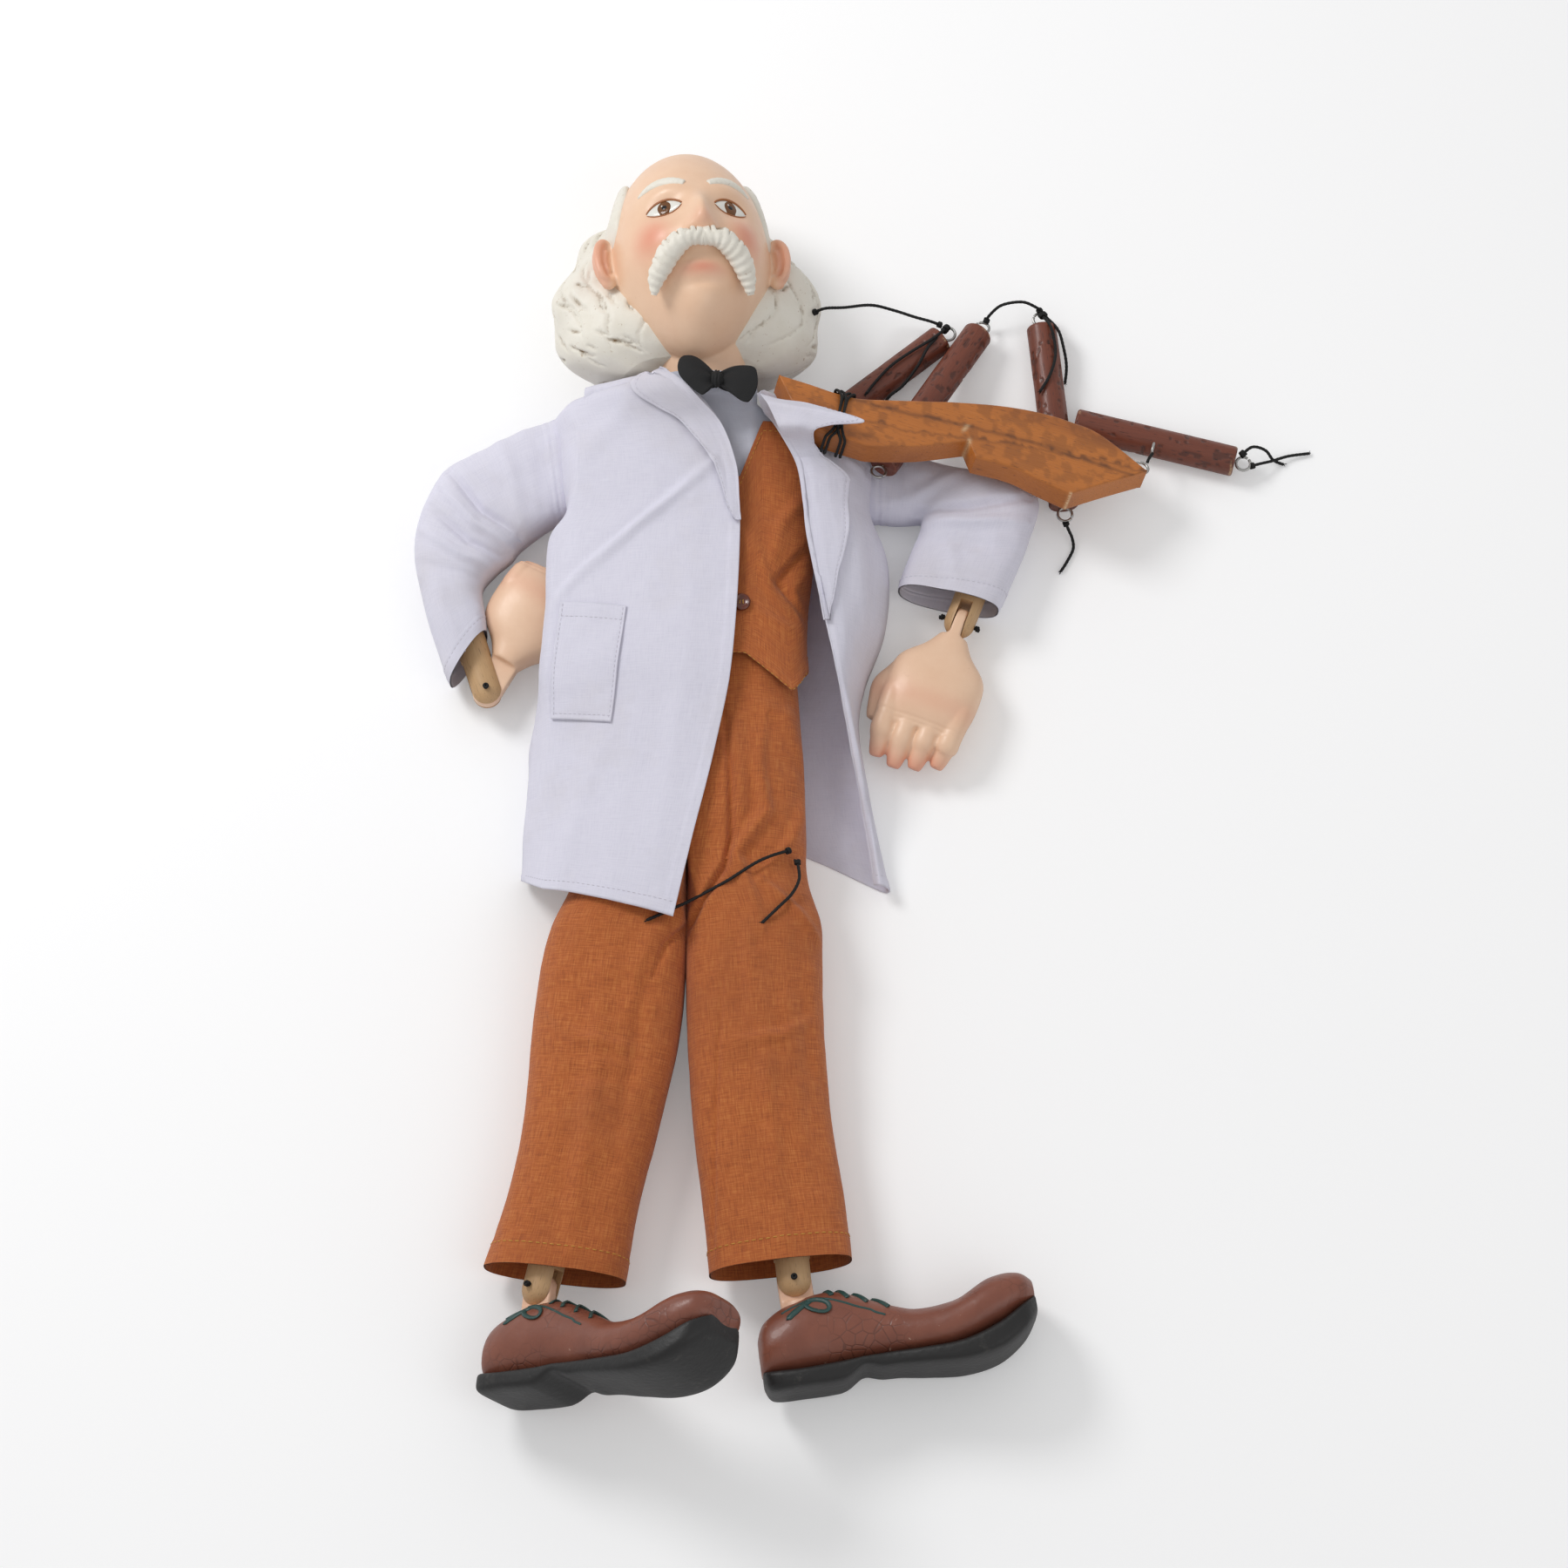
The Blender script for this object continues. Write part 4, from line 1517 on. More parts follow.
TROUSER_FOLDS = [
    ([(7, -70), (8.5, -77), (11.6, -110), (11.8, -145), (8.9, -160), (0.8, -173), (-10, -190), (-24, -205),
      (-30, -223)], -2.7, 2.4, 0.9),
    ([(15, -80), (17.5, -110), (18, -142), (14, -158)], 1.9, 4.0, 0.0),
    ([(-14, -186), (-30, -200), (-38, -220), (-42, -244)], 1.6, 4.5, 0.0),
    ([(32.7, -74), (29.8, -102.4), (34.7, -127.9), (17.2, -154.7), (26, -178.3), (31.4, -196)], 2.8, 4.2, -0.7),
    ([(25, -100), (25, -128), (12, -148)], -1.4, 3.5, 0.0),
    ([(57.7, -108), (45.4, -142.5), (28.4, -167.8)], 1.9, 3.6, 0.9),
    ([(31.3, -169), (47.8, -183.3), (64, -202.1)], 1.6, 3.0, -0.8),
    ([(40, -60), (48, -84), (56, -100)], 1.2, 5.0, 0.5),
    ([(20, -62), (38, -70), (54, -70)], 0.9, 4.0, 0.5),
    ([(-12, -150), (-12, -196)], -1.2, 1.6, 0.0),
    ([(-60, -225), (-64, -290), (-76, -380)], 2.6, 7.0, 0.4),
    ([(-34, -216), (-40, -262), (-52, -330)], -2.2, 5.0, 0.3),
    ([(-92, -240), (-72, -262), (-40, -268)], 2.0, 4.5, 0.6),
    ([(-95, -262), (-72, -282), (-48, -284)], -1.5, 4.5, 0.0),
    ([(28, -214), (32, -290), (42, -384)], 2.4, 5.5, 0.5),
    ([(50, -205), (56, -260), (62, -340)], -2.0, 6.0, 0.0),
    ([(60, -246), (40, -258), (10, -262)], 1.8, 4.0, 0.6),
    ([(8, -224), (5, -280), (3, -384)], -1.3, 1.5, 0.5), ([(20, -196), (22, -226), (24, -250)], 2.2, 5.0, 0.7)]


def leg_rings(s):
    """A leg from the seat's own half ring down to its round hem."""
    rows, columns = 212, 186
    leg = station_rings(LEGS[s], rows, columns * 4)
    across, rise = squared((np.arange(columns * 4) / columns / 4 * tau)[None, :], 2.6)
    across = 63.1 * np.minimum(across, 0) if s == "r" else 66.9 * np.maximum(across, 0)
    y = leg[..., 1]
    seat = np.stack([-11.9 + across + 0 * y, y, 24.5 + 23.1 * rise + 0 * y], axis=-1)
    seat = even_rings(seat, columns * 4)
    share = ease(-leg[..., 1].mean(axis=1), 150, 196)[:, None, None]
    grid = even_rings(seat * (1 - share) + leg * share, columns)
    return draped(grid, TROUSER_FOLDS, 43, 0.7, 0.35)


def add_trousers():
    seat = draped(station_rings(SEAT, 108, 236), TROUSER_FOLDS, 43, 0.7, 0.35)
    obj, face = tube_cloth("trouser_seat_cloth", seat, 0, len(seat), RUST)
    settle(obj, "trousers_seat", "torso")
    declare_cloth(face, True)
    for s in "rl":
        whole = leg_rings(s)
        whole, run = hem_relief(whole, 13, 0.5)
        split = int(np.argmin(np.abs(whole[..., 1].mean(axis=1) + 211)))
        for part, rows, bodies, ends in (
                ("upper", (0, split + 1), ("torso", f"thigh_{s}"), (-146, -196)),
                ("lower", (split, len(whole)), (f"thigh_{s}", f"shin_{s}"), (-240, -300))):
            obj, face = tube_cloth(f"trouser_{part}_{s}", whole, *rows, RUST)
            blended(obj, f"trouser_{bodies[1]}", face)
        sewn_hem(f"hem_stitches_{s}", whole, run, 11.8, 0.15, (2.4, 1.5, 0.27), GOLD_THREAD, f"shin_{s}")


# Sleeves

SLEEVES = {
    "r": [
        (-80, 127, -74, 68, 3, 32), (-92.6, 124, -84.6, 62, 1, 34), (-110, 117, -97, 54, 1, 34),
        (-131, 106, -110, 43, 0.8, 34), (-158, 88, -115, 36, 0.8, 35), (-172, 48, -124, 28, 0.8, 36),
        (-166, 8, -132, 17, 0.8, 36), (-154, -30, -130, 1, 0.8, 35), (-149, -41, -129.3, -10, 1.5, 34)],
    "l": [
        (84, 112, 84, 62, 3, 27), (95.2, 110, 94.6, 61, 1, 28), (112, 106, 110, 60, 1, 28),
        (131, 98, 122, 61, 0.8, 28.5), (160, 90, 122, 57, 0.8, 32.5), (190, 76, 120, 50, 0.8, 34),
        (185, 48, 115, 38, 0.8, 34), (173, 18, 110, 24, 0.8, 34), (166, 4, 109, 17, 0.8, 34)]}
SLEEVE_FOLDS = {
    "r": [
        ([(-153, 86), (-134, 60), (-112, 46)], -3.2, 2.8, 0.9), ([(-156, 74), (-137, 50), (-115, 38)], 3.0, 3.4, 0.8),
        ([(-164, 62), (-140, 40), (-118, 31)], -3.0, 2.8, 0.9), ([(-167, 48), (-144, 31), (-122, 24)], 2.6, 3.2, 0.7),
        ([(-169, 28), (-144, 20), (-128, 17)], -1.6, 3.4, 0.4), ([(-128, 112), (-118, 86), (-112, 56)], 1.4, 5.0, 0.5),
        ([(-104, 116), (-99, 90), (-97, 66)], -1.2, 5.0, 0.3), ([(-160, 14), (-152, -8), (-142, -24)], 1.3, 4.5, 0.4)],
    "l": [
        ([(100, 66), (118, 70), (144, 86)], 1.5, 4.5, 0.5), ([(122, 62), (150, 62), (182, 68)], -2.6, 3.2, 0.8),
        ([(120, 54), (150, 52), (182, 54)], 2.5, 4.0, 0.7), ([(118, 42), (148, 40), (180, 36)], -1.4, 4.2, 0.4),
        ([(136, 44), (140, 28), (138, 18)], 1.2, 5.0, 0.3), ([(104, 100), (107, 84), (108, 70)], -1.0, 4.5, 0.3)]}


def add_sleeves():
    for s in "rl":
        whole = station_rings(SLEEVES[s], 168, 120)
        whole = draped(whole, SLEEVE_FOLDS[s], 61 if s == "r" else 67, 0.5, 0.3)
        whole, run = hem_relief(whole, 9, 0.45)
        seam = (np.arange(len(whole)) - 24) / 3.2
        whole = whole + outward(whole) * (-0.5 * bell(seam - 0.4, 0.5) - 0.35 * bell(seam - 2.0, 0.6))[:, None, None]
        split = int(round((len(whole) - 1) * 3 / (len(SLEEVES[s]) - 1)))
        shoulder, elbow, wrist = (np.array([*place[s], ARM_Z], float) for place in (SHOULDER, ELBOW, WRIST))
        arm, fore = elbow - shoulder, wrist - elbow
        for part, node, rows, bodies, start, end in (
                ("top", "upper", (0, split + 1), ("torso", f"upper_arm_{s}"),
                 shoulder + 0.22 * arm, shoulder + 0.5 * arm),
                ("bottom", "lower", (split, len(whole)), (f"upper_arm_{s}", f"forearm_{s}"),
                 shoulder + 0.72 * arm, elbow + 0.45 * fore)):
            obj, face = tube_cloth(f"sleeve_{part}_{s}", whole, *rows, COTTON)
            blended(obj, f"sleeve_{node}_{s}", face)
        sewn_hem(f"cuff_stitches_{s}", whole, run, 7.6, 0.1, (1.8, 1.3, 0.19), WHITE_THREAD, f"forearm_{s}")


# Shirt, waistcoat, button and bow tie

def armholes(face, radius):
    """Which quads of a tube stay where the arms pass out."""
    following = np.roll(face, -1, axis=1)
    middle = (face[:-1] + following[1:]) / 2
    keep = np.ones(middle.shape[:2], bool)
    for s in "rl":
        near = np.hypot(middle[..., 1] - SHOULDER[s][1], middle[..., 2] - ARM_Z - 3) < radius
        keep &= ~(near & (np.abs(middle[..., 0]) > 45))
    return keep


def add_shirt():
    x = NECK_PIVOT[0]
    rings = [
        (0, 50.5, -34, 4.6, 48.6), (0, 51, 0, 4.6, 49), (0, 58, 42, 4, 50), (0, 59, 84, 3.6, 50.6),
        (0, 58, 100, 3.6, 50.6), (x, 44, 116, 4, 55), (x, 33, 122, 4.6, 66), (x, 32, 133, 6, 70)]
    stations = [(middle - half, y, middle + half, y, low, high) for middle, half, y, low, high in rings]
    folds = [
        ([(6, 112), (8, 92), (14, 70)], -0.9, 3.0, 0.5), ([(22, 114), (24, 96), (28, 78)], 1.2, 3.6, 0.5),
        ([(-6, 108), (14, 104), (34, 106)], -0.8, 2.2, 0.4)]
    face = draped(station_rings(stations, 92, 140, 2.7), folds, 71, 0.4, 0.3)
    obj = cloth_shell("shirt_cloth", face, SHIRT, 0.9, outward(face), True, armholes(face, 14.6))
    settle(obj, "shirt", "torso")
    declare_cloth(face, True, 0.95)
    thread = []
    for side in (-1, 1):
        a, b, c, d = (np.array([x + side * reach, y, z]) for reach, y, z in (
            (1, 132, 69), (17, 133, 64.2), (21, 118, 63), (4, 124, 68.5)))
        u, v = np.linspace(0, 1, 30)[None, :, None], np.linspace(0, 1, 26)[:, None, None]
        leaf = (1 - v) * ((1 - u) * a + u * b) + v * ((1 - u) * d + u * c)
        leaf = leaf + UP * 1.6 + UP * 0.5 * np.sin(pi * u) * np.sin(pi * v)
        obj = cloth_shell(f"collar_leaf_{'r' if side < 0 else 'l'}", leaf, SHIRT, 1.5, front_normals(leaf, 9, 9))
        settle(obj, None, "torso")
        declare_cloth(leaf, False)
        thread += sewn_line(leaf, UP + 0 * leaf, np.linspace(1, 28, 80), 22, 0.12, 1.2, 0.9, 0.14)
    settle(merged("collar_stitches", thread, WHITE_THREAD), None, "torso")


VEST_FOLDS = [
    ([(25, 34), (32.1, 5.8), (40.5, -6.5)], 1.3, 3.4, 0.7),
    ([(58, 36), (37.5, 9.4), (48, -2.9), (59, -17)], -1.9, 3.0, 0.8),
    ([(54, 66), (39, 44.6), (33.5, 15.9)], 1.6, 4.4, 0.6), ([(56, 20), (46, 6), (52, -8)], 1.6, 3.4, 0.3),
    ([(18, 50), (22, 20), (20, -4)], 0.8, 5.0, 0.0), ([(22, -8), (34, -16), (50, -22)], 0.9, 4.0, 0.5)]


def vest_face():
    rows, columns = 136, 216
    c, s = squared((np.arange(columns) / columns * tau)[None, :], 3)
    v = np.linspace(0, 1, rows)[:, None]
    front = ease(s, 0, 0.8)
    x = c * 62
    slope = np.abs(x - 17) / 33
    top = 108 + (70 + 38 * np.minimum(1, np.abs(x - 16) / 14) - 108) * front
    hem = -36 + (-36 - 21 * np.maximum(0, 1 - np.abs(slope - 1) * 1.2) + 36) * front
    y = top + (hem - top) * v
    waist = 1 - 0.1 * bell(y + 20, 50)
    z = 28.45 + s * 26.15 + 0 * v
    pinch = bell(y - 10, 15) * ease(x, 20, 56) * ease(z, 34, 50)
    grid = np.stack([x * waist - 6 * pinch, y, z], axis=-1)
    grid = draped(grid, VEST_FOLDS, 81, 0.4, 0.3)
    edge = np.minimum(v, 1 - v) * (top - hem)
    lift = 0.45 * (1 - ease(edge, 6.4, 7.2)) - 0.3 * bell(edge - 5.6, 0.7)
    return grid + outward(grid) * lift[..., None]


def add_vest():
    face = vest_face()
    obj = cloth_shell("waistcoat_cloth", face, RUST, 0.95, outward(face), True, armholes(face, 16.6))
    settle(obj, "vest", "torso")
    declare_cloth(face, True, 0.95)
    down = np.linalg.norm(np.diff(face, axis=0), axis=-1).sum(axis=0)
    j = np.arange(8, 112)
    row = 5.4 / down[j] * 149
    solids = []
    for v in (row, 149 - row):
        solids += sewn_line(face, outward(face), j, v, 0.1, 1.9, 1.4, 0.2)
    settle(merged("waistcoat_stitches", solids, GOLD_THREAD), None, "torso")
    profile = np.array([
        (0.02, -1.2), (4.6, -1.2), (5.15, -0.7), (5.25, 0), (5.1, 0.6), (4.7, 1.15), (4.1, 1.25), (3.6, 1.0),
        (3.1, 0.6), (1.5, 0.45), (0.02, 0.42)])
    a = np.arange(48) / 48 * tau
    middle = np.array([18.3, -6, 56.35])
    rings = np.stack([profile[:, :1] * np.cos(a), profile[:, :1] * np.sin(a), profile[:, 1:] + 0 * a], axis=-1) + middle
    button = merged("coat_button", [capped(rings)], BUTTON)
    settle(button, "vest_button", "torso")
    holes, thread = [], []
    for px, py in ((-1, -1), (1, -1), (-1, 1), (1, 1)):
        at = middle + np.array([px * 1.05, py * 1.05, 0.46])
        holes.append(capped(tube_points(np.array([at, at + (0, 0, 0.03)]), 0.5, 16)))
    for px in (-1, 1):
        line = middle + np.array([
            (px * 1.05, -1.2, 0.3), (px * 1.0, -0.6, 0.75), (px * 0.9, 0.6, 0.75), (px * 1.05, 1.2, 0.3)])
        thread.append(capped(tube_points(spline(line, 12), 0.24, 8)))
    settle(merged("button_holes", holes, EYE_BLACK), None, "torso")
    settle(merged("button_thread", thread, GOLD_THREAD), None, "torso")


BOW = {
    "r": [(-1.5, 4.5), (-8, 11), (-14, 14.5), (-20, 14), (-22.5, 9), (-21.5, 2), (-16, -4.5), (-9, -10), (-5.5, -8.5),
          (-1.5, -4.5)],
    "l": [(1.5, 4.5), (8, 7.5), (15, 8.5), (21.5, 7), (23.5, 1), (23, -7), (19.5, -13.5), (15, -14.5), (7, -8.5),
          (1.5, -4.5)]}


def add_bow_tie():
    """Two soft lobes gathered at a small knot, with pleats that fan out from it."""
    centre = np.array([3.9, 123.8])
    for s in "rl":
        sign = -1 if s == "r" else 1
        outline = spline(BOW[s], 90)
        root = np.column_stack([np.full(90, sign * 1.0), np.linspace(3.4, -3.4, 90)])
        r = np.linspace(0, 1, 46)[:, None, None]
        xy = root + (outline - root) * r + centre
        t, reach = np.linspace(0, 1, 90)[None, :], r[..., 0]
        pleat = 1.0 * np.sin(t * pi * 5.0) * np.exp(-2.2 * reach) * ease(reach, 0, 0.15)
        bulge = 2.6 * np.sin(pi * np.clip(reach * 0.9, 0, 1)) * np.sin(pi * t) + 0.6 * np.sin(pi * t)
        face = np.concatenate([xy, 0 * xy[..., :1]], axis=-1)
        face[..., 2] = 77.2 + bulge + pleat + 0.25 * layered_noise(face, 9, 5, 2)
        lobe = cloth_shell(f"bow_lobe_{s}", face, BLACK_CLOTH, 2.6, front_normals(face, 20, 40))
        settle(lobe, "bow_tie", "torso")
    knot = ball_points((3.7, 5.2, 4.8), (3.9, 123.8, 77.4), None, 40, 60)
    knot = knot + grid_normals(knot, True) * (0.3 * np.sin(knot[..., 0:1] * 3.2 + 0.8 * np.sin(knot[..., 1:2])))
    settle(merged("bow_knot", [capped(knot)], BLACK_CLOTH), None, "torso")


add_shirt()
add_vest()
add_bow_tie()
add_trousers()
add_sleeves()


# Trunk and the links that hang from it

TRUNK_STATIONS = [
    (114, 0.3, 0.6), (110, 0.62, 0.84), (98, 1, 1), (60, 1, 1), (0, 0.86, 0.95), (-40, 0.74, 0.9), (-85, 0.84, 0.95),
    (-120, 0.84, 0.92), (-128, 0.7, 0.7)]


def add_trunk():
    """The carved trunk block with faint tool facets, and the black link cords in its holes."""
    stations = [
        (-w * 56, y, w * 56, y, 27 - d * 21, 25.5 + d * 21 - (2.5 if y < -30 else 0)) for y, w, d in TRUNK_STATIONS]
    grid = station_rings(stations, 120, 96, 3.0)
    grid = grid - outward(grid) * (0.35 * (1 - np.abs(layered_noise(grid, 14, 90, 2))))[..., None]
    points, faces = capped(grid)
    obj = mesh_object("trunk_block", points, faces, DOWEL)
    set_grain(obj, points, turn_of(), (0, 0, 0))
    settle(obj, "trunk", "torso")
    for joint, pivots, ends, level in (("shoulder", SHOULDER, ELBOW, ARM_Z), ("hip", HIP, KNEE, LEG_Z)):
        for s in "rl":
            start = ({"r": -48, "l": 48}[s], pivots[s][1]) if joint == "shoulder" else (pivots[s][0], -122)
            start, pivot, toward = (np.array([*p, level], float) for p in (start, pivots[s], ends[s]))
            unit = (toward - pivot) / np.linalg.norm(toward - pivot)
            keys = [start, (start + pivot) / 2, pivot + unit * BLOCK_LINK, pivot + unit * (BLOCK_LINK + CORD_SEAT - 2)]
            rings = tube_points(resampled(spline(keys, 60), 0.5), CORD_RADIUS * 0.86, 12, 1.0, 1.0, 0.14)
            uv = grid_uv(rings).reshape(-1, 2)
            link = mesh_object(f"{joint}_link_{s}", *capped(rings), CORD, np.concatenate([uv, uv[[0, -1]]]))
            settle(link, f"{joint}_cord_{s}", "torso")


EYE_RADIUS, EYE_WIRE, EYE_SHANK = 4.2, 0.9, 6.0


def eye_solids():
    """A screw eye at the origin: an open ring above, a threaded shank down -Y."""
    ring = eye_ring((0, EYE_RADIUS + EYE_WIRE, 0), EYE_RADIUS, EYE_WIRE * 0.95, (0, 0, 1))
    y = np.linspace(EYE_WIRE, -EYE_SHANK, 60)
    radii = EYE_WIRE * (0.8 + 0.16 * np.sin(y * tau / 0.9)) * np.clip((y + EYE_SHANK) / 1.4, 0.1, 1)
    shank = capped(tube_points(np.column_stack([0 * y, y, 0 * y]), radii, 16))
    return [ring, shank]


def add_neck_link():
    x, _, z = NECK_PIVOT
    for name, node, body, y, turn in (
            ("trunk_screw_eye", "neck_eye_trunk", "torso", 114.35, turn_of()),
            ("head_screw_eye", "neck_eye_head", "head", 127.45 + 2 * EYE_RADIUS + EYE_WIRE, turn_of(z=180))):
        settle(merged(name, moved(eye_solids(), (x, y, z), turn), STEEL), node, body)
    ring = eye_ring((x, (123.65 + 127.45) / 2, z), 4, EYE_WIRE * 0.95, (1, 0, 0))
    settle(merged("neck_wire_ring", [ring], STEEL), "neck_ring", "neck_link")


# Control: board, bars, lashing and strings

BOARD_PLACE = (42.5, 124.5, 71)
BOARD_MATRIX = turn_of(x=-20, y=8.5, z=-13)
BOARD_TOP = [
    (-4, 5.4), (12.3, 4.7), (31.8, 3.5), (46.3, 4.6), (72, 13), (101.4, 22.7), (125, 29), (147.7, 32.3), (168, 32),
    (186.9, 28.3), (217.7, 9.6)]
BOARD_LOW = [
    (-4, 5.4), (8, -14), (20.3, -28.2), (36, -29.4), (49.1, -30.1), (58.4, -29.5), (84, -20), (107.2, -7.5),
    (111.6, -5.2), (117.4, -16.5), (139.8, -16), (156.6, -20.3), (175.4, -24.6), (196, -7.5), (217.7, 9.6)]
BOARD_CORNERS = {-4, 20.3, 111.6, 117.4, 175.4, 217.7}
BOARD_THICKNESS = 15.0


def edge_line(keys):
    """A dense outline through its keys, smooth between the sharp corners."""
    lines, part = [], [keys[0]]
    for key in keys[1:]:
        part.append(key)
        if key[0] in BOARD_CORNERS:
            lines.append(spline(part, 16 * len(part)) if len(part) > 2 else np.array(part))
            part = [key]
    return np.concatenate(lines)


def add_board():
    """Sections across the board: |(y - m) / w|, |(z + 7.5) / 7.5| with rounded corners of 1.1 mm."""
    top, low = edge_line(BOARD_TOP), edge_line(BOARD_LOW)
    corners = [np.array([c - 0.2, c, c + 0.2]) for c in (20.3, 111.6, 117.4, 175.4)]
    xs = np.unique(np.concatenate([np.linspace(-3.7, 217.4, 240), *corners]))
    high, deep = np.interp(xs, top[:, 0], top[:, 1]), np.interp(xs, low[:, 0], low[:, 1])
    half, middle = (high - deep) / 2, (high + deep) / 2
    arc = np.linspace(0, pi / 2, 5)
    flat, side = np.linspace(-1, 1, 42)[1:-1], np.linspace(-1, 1, 10)[1:-1]
    r = np.minimum(1.1, half * 0.8)[:, None]
    w, t = half[:, None], BOARD_THICKNESS / 2

    def corner(sy, sz, a):
        return sy * (w - r + r * np.cos(a)), sz * (t - r + r * np.sin(a))

    parts = [
        corner(1, 1, arc), (-(w - r) * flat, t + 0 * w * flat), corner(-1, 1, arc[::-1]),
        (-w + 0 * side, -(t - 1.1) * side + 0 * w), corner(-1, -1, arc), ((w - r) * flat, -t + 0 * w * flat),
        corner(1, -1, arc[::-1]), (w + 0 * side, (t - 1.1) * side + 0 * w)]
    y = np.concatenate([p[0] for p in parts], axis=1) + middle[:, None]
    z = np.concatenate([p[1] for p in parts], axis=1) - t
    x = np.broadcast_to(xs[:, None], y.shape)
    local = np.stack([x, y, z], axis=-1)
    local[..., 2] += 0.12 * layered_noise(local, 16, 31, 3) * (z > -2)
    points, faces = capped(local)
    world = placed(points, BOARD_PLACE, BOARD_MATRIX)
    obj = mesh_object("board_wood", world, faces, BOARD)
    set_grain(obj, world, BOARD_MATRIX[:, [1, 0, 2]], BOARD_PLACE)
    x, y, z = points.T
    fine = layered_noise(points, 5, 33, 3)
    streak = bell(y - np.interp(x, [20, 60, 110, 150, 190, 212], [1, 2, 6, 7, 4, 3]) - 0.8 * fine, 1.5) * (z > -1)
    shadow = bell(y - np.interp(x, [30, 80, 130, 190], [-14, -9, 0, 8]) - 2 * fine, 1.1) * (z > -1) * 0.4
    rim = 0.3 * bell(np.abs(z + 7.5) - 7.4, 0.5) * ease(fine, -0.1, 0.5)
    paint_attribute(obj, "stain", np.clip(0.5 * streak * ease(x, 20, 60) + shadow + rim, 0, 0.8))
    chip = bell(x - 107 - 0.35 * y, 1.4) * bell(y - 3.5, 3.2) * ease(fine, -0.3, 0.1)
    notch = bell(x - 112, 1.3) * bell(y + 6, 2.5) + bell(np.hypot(x - 175.4, y + 24.6), 0.9)
    paint_attribute(obj, "bare", np.clip(chip + notch, 0, 1))
    settle(obj, "control_board", "control")
    eye = moved(moved(eye_solids(), (0, 0.35, 0), np.eye(3)), (212, 13.1, -7.5), turn_of(z=-31.3))
    eye = merged("board_screw_eye", moved(eye, BOARD_PLACE, BOARD_MATRIX), STEEL)
    settle(eye, "board_eye_end", "control")


def turn_between(a, b):
    """The least turn that takes unit vector a to unit vector b."""
    v, c = np.cross(a, b), float(np.dot(a, b))
    k = np.array([[0, -v[2], v[1]], [v[2], 0, -v[0]], [-v[1], v[0], 0]])
    return np.eye(3) + k + k @ k / (1 + c)


BARS = [
    ((136.1, 182.4, 9.5), (81.6, 138.1, 9.5), ("start",)), ((158, 186, 9.5), (99.7, 86, 40), ("start", "end")),
    ((195.7, 190, 9.5), (206.5, 73.7, 9.5), ("start", "end")),
    ((214.2, 127.3, 9.5), (307.6, 102.5, 9.5), ("end", "middle"))]


BAR_RADIUS = 9.0


def add_bars():
    """Turned bars with rounded ends, pitted and scuffed; screw eyes where the cords tie on."""
    for number, (start, end, eyes) in enumerate(BARS, 1):
        start, end = np.array(start, float), np.array(end, float)
        length = np.linalg.norm(end - start)
        turn = turn_between(np.array([0, -1.0, 0]), (end - start) / length)
        arc = np.linspace(0, pi / 2, 8)
        y = np.concatenate([
            [0.0, 0.0], -1.6 + 1.6 * np.cos(arc), np.linspace(-1.9, -length + 1.9, 190),
            -length + 1.6 - 1.6 * np.sin(arc), [-length, -length]])
        r = np.concatenate([
            [0.05, 4], 7.4 + 1.6 * np.sin(arc), np.full(190, BAR_RADIUS), 7.4 + 1.6 * np.cos(arc), [4, 0.05]])
        local = lathed(y, r, 72)
        pits = layered_noise(local * (1, 0.55, 1), 2.6, 50 + number, 2)
        depth = ease(pits, 0.42, 0.62) * (r[:, None] > 8.9)
        shrink = 1 - (0.45 * depth + 0.1) / BAR_RADIUS - 0.012 * np.abs(layered_noise(local, 20, 60 + number, 2))
        local = local * np.stack([shrink, np.ones_like(shrink), shrink], axis=-1)
        points, faces = capped(local)
        world = placed(points, start, turn)
        obj = mesh_object(f"bar_wood_{number}", world, faces, BAR)
        set_grain(obj, world, turn, start)
        paint_attribute(obj, "stain", np.concatenate([(0.5 * depth).ravel(), [0, 0]]))
        rim = (bell(y + 1.2, 0.8) + bell(y + length - 1.2, 0.8))[:, None]
        rim = rim * ease(layered_noise(local, 4, 70, 2), 0.2, 0.5)
        paint_attribute(obj, "bare", np.concatenate([0.6 * rim.ravel(), [0, 0]]))
        settle(obj, f"crossbar_{number}", f"bar_{number}")
        solids = []
        for place in eyes:
            for p, f in eye_solids():
                if place == "end":
                    p = p @ turn_of(z=180).T - (0, length, 0)
                elif place == "middle":
                    p = (p + (0, BAR_RADIUS, 0)) @ (turn_of(y=-45) @ turn_of(x=90)).T - (0, length / 2, 0)
                solids.append((placed(p, start, turn), f))
        eye = merged(f"bar_eyes_{number}", solids, STEEL)
        settle(eye, None, f"bar_{number}")


def cord_solid(line):
    """A two-ply string along a line."""
    return capped(tube_points(line, STRING_RADIUS * 0.9, 14, 1.0, 1.3, 0.16))


def frayed(line, seed):
    """Short loose fibres that fan out past the end of a line."""
    rng, solids = np.random.default_rng(seed), []
    ahead = line[-1] - line[-4]
    ahead /= np.linalg.norm(ahead)
    for _ in range(7):
        out = ahead + 0.5 * rng.normal(size=3)
        tip = line[-1] + out / np.linalg.norm(out) * rng.uniform(1.0, 2.4)
        tip[2] = max(tip[2], 0.3)
        fibre = np.array([line[-1] - ahead * 0.3, (line[-1] + tip) / 2, tip])
        solids.append(capped(tube_points(fibre, [0.3, 0.22, 0.1], 6)))
    return solids


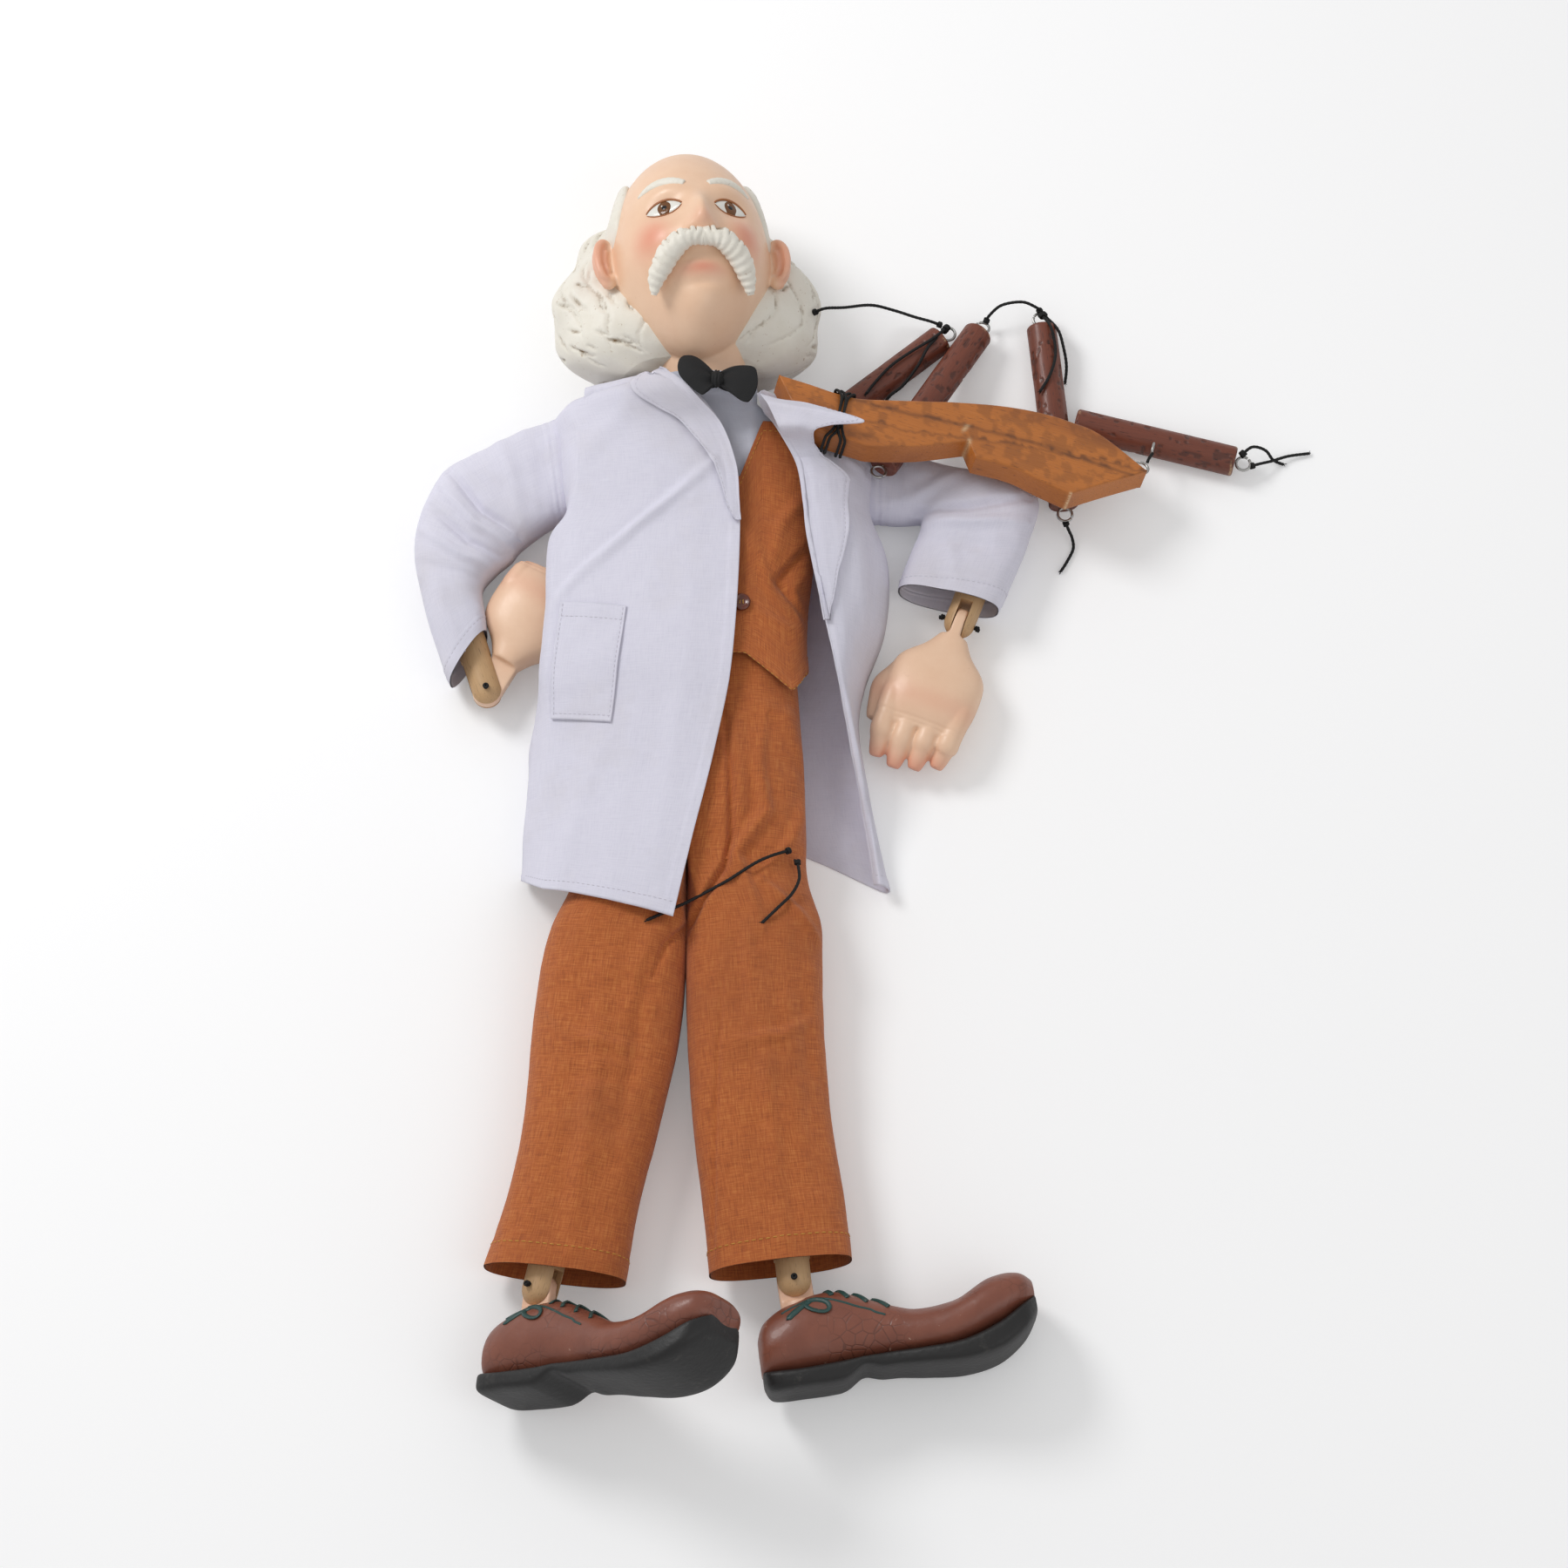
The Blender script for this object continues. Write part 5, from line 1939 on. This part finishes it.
def knot_solids(centre, radius, axis, turns=2.5):
    """A few tight turns of string round a point."""
    axis = np.asarray(axis, float) / np.linalg.norm(axis)
    a = np.linspace(0, turns * tau, 60)
    line = circle(centre, radius, axis, (0.31, 0.22, 0.92), a)
    return [capped(tube_points(line + ((a / tau - turns / 2) * 0.95)[:, None] * axis, 0.72, 8))]


def string_line(keys):
    return resampled(spline(keys, 40 * len(keys)), 0.4)


def add_cord(names, node, body, line, ends):
    """A string and, as a piece of its own, what it has at its ends: knots, and loose fibres where it is bare."""
    obj = merged(names[0], [cord_solid(line)], CORD)
    settle(obj, node, body)
    ends = merged(names[1], ends, CORD)
    settle(ends, None, body)


STRING_RADIUS = 0.9
STRINGS = {  # far end and the way from end to end; the names are those of the part
    "head_string": ("object", [
        (60.7, 184.5, 41.1), (67, 185, 45), (78, 190, 36), (94.2, 199, 21), (108, 198, 16), (120, 194.5, 14.5),
        (129, 192, 14), (135.2, 190.6, 11.9)]),
    "bar_string": ("object", [
        (163.1, 194.6, 9), (165, 197, 12), (172, 201, 17), (184, 202.6, 18), (192.5, 200.8, 14.5), (194.8, 200, 11.4)]),
    "bar4_tail": ("bare", [
        (317.9, 100, 9.4), (323, 102, 8), (330, 105, 5), (340, 109, 3), (352.3, 111.3, 1.8)]),
    "hang_cord": ("bare", [
        (207.5, 62.8, 9.2), (209, 60, 7), (211.3, 56, 3.5), (211.8, 50, 1.8), (208, 42, 1.8), (204.3, 35.9, 1.8)]),
    "leg_string_r": ("bare", [
        (45, -152, 45.8), (36, -156, 49.3), (28, -160, 50.4), (20, -165, 50.1), (12, -170, 48.7), (4, -174, 46.6),
        (-4, -178, 45), (-11, -182, 45.4), (-18, -186, 47.4), (-26, -190, 47.8), (-33.5, -193.5, 48)]),
    "leg_string_l": ("bare", [
        (50, -158, 43.7), (51, -168, 44.3), (47, -178, 48), (40, -186, 49.8), (30.4, -195.5, 49.2)])}
LOOSE = {  # body and way of the tied-off ends that lie along the bars, each with the knot at its eye
    "bar_one_loop": ("bar_1", [
        (139, 187, 15), (130, 177, 20.5), (118, 169, 20.5), (106, 160, 20.2), (97, 150, 20), (91, 142, 19.5)]),
    "bar_one_tail": ("bar_1", [
        (138, 186, 14), (128, 172, 21), (122, 161, 19), (113, 150, 14), (104, 143, 11), (99, 133, 5), (107, 131, 1.6),
        (124, 134, 1.2)]),
    "bar_three_tail": ("bar_3", [
        (196, 196, 13), (200.5, 186, 19.2), (203, 174, 18), (202.5, 164, 19), (199, 153, 20), (193.5, 144, 18.5)]),
    "bar_three_loop": ("bar_3", [(197, 197, 12), (205, 186, 15), (208.5, 174, 13), (210, 164, 10), (209, 154, 9)]),
    "bar_four_tail": ("bar_4", [(312, 106, 13), (318, 110, 14), (326, 110, 9), (331, 106, 4), (337, 104.5, 1.3)])}


def add_strings():
    for name, (far, keys) in STRINGS.items():
        line = string_line(keys)
        ends = frayed(line, len(keys)) if far == "bare" else knot_solids(line[-1], 1.3, line[-1] - line[-5])
        ends = ends + knot_solids(line[0], 1.3, line[4] - line[0])
        add_cord((name + "_cord", name + "_ends"), name, "control", line, ends)
    tie = string_line([(254.6, 95, 24.2), (255.6, 97.4, 24.8), (257.2, 100, 24.2), (258.2, 101.4, 23.9)])
    settle(merged("bar_four_tie", [cord_solid(tie)], CORD), "bar4_tie", "control")
    for name, (body, keys) in LOOSE.items():
        line = string_line(keys)
        ends = frayed(line, len(name)) + knot_solids(line[0], 1.5, line[4] - line[0], 3.0)
        add_cord((name, name + "_knot"), None, body, line, ends)


def add_lashing():
    """A cord that crosses over the board's waist from side to side and runs straight underneath."""
    turns, steps = 4, 96
    a = np.arange(turns * steps + 1) / steps * tau
    turn = np.minimum((a / tau).astype(int), turns - 1)
    across, rise = squared(a, 8)
    sway = np.where(turn % 2 == 0, 1.0, -1.0) * np.where(np.sin(a) >= 0, np.cos(a), -1.0)
    x = 36.0 + 4.6 * sway + 2.6 * (turn // 2 - 0.5)
    y = -12.8 + across * (18 + 1.15)
    half = BOARD_THICKNESS / 2
    z = -half + rise * (half + 1.25) + (np.sin(a) > 0) * (0.75 + 0.75 * (turn % 2)) * bell(np.cos(a), 0.5)
    line = placed(resampled(np.column_stack([x, y, z]), 0.5), BOARD_PLACE, BOARD_MATRIX)
    obj = merged("board_lashing", [capped(tube_points(line, 0.76, 12, 1.0, 1.3, 0.16))], CORD)
    settle(obj, "lashing", "control")


add_trunk()
add_neck_link()
add_board()
add_bars()
add_strings()
add_lashing()


# Stage

def add_stage():
    mesh = bpy.data.meshes.new("floor")
    mesh.from_pydata([(-6, -6, 0), (6, -6, 0), (6, 6, 0), (-6, 6, 0)], [], [(0, 1, 2, 3)])
    floor = linked("floor", mesh)
    n = Material("pale floor", 0.9, Emission_Color=(1, 1, 1, 1))
    seen = n.add("ShaderNodeLightPath").outputs["Is Camera Ray"]
    n.put(n.bsdf.inputs["Emission Strength"], n.math("MULTIPLY", seen, 0.16))
    mesh.materials.append(n.done((0.9, 0.9, 0.905, 1)))


def add_light(name, place, size, power):
    data = bpy.data.lights.new(name, "AREA")
    data.shape, data.size, data.energy = "DISK", size, power
    light = linked(name, data)
    light.location = place
    light.rotation_euler = (Vector((0, -0.08, 0)) - Vector(place)).to_track_quat("-Z", "Y").to_euler()


def add_world():
    world = bpy.data.worlds.new("studio")
    bpy.context.scene.world = world
    world.use_nodes = True
    background = world.node_tree.nodes["Background"]
    background.inputs["Color"].default_value = (1, 1, 1, 1)
    background.inputs["Strength"].default_value = 0.56


add_stage()
add_light("key", (-1.1, 0.8, 1.35), 0.7, 15.5)
add_light("fill", (1.3, -0.9, 1.5), 1.4, 3.5)
add_world()
bpy.context.scene.view_settings.view_transform = "Standard"
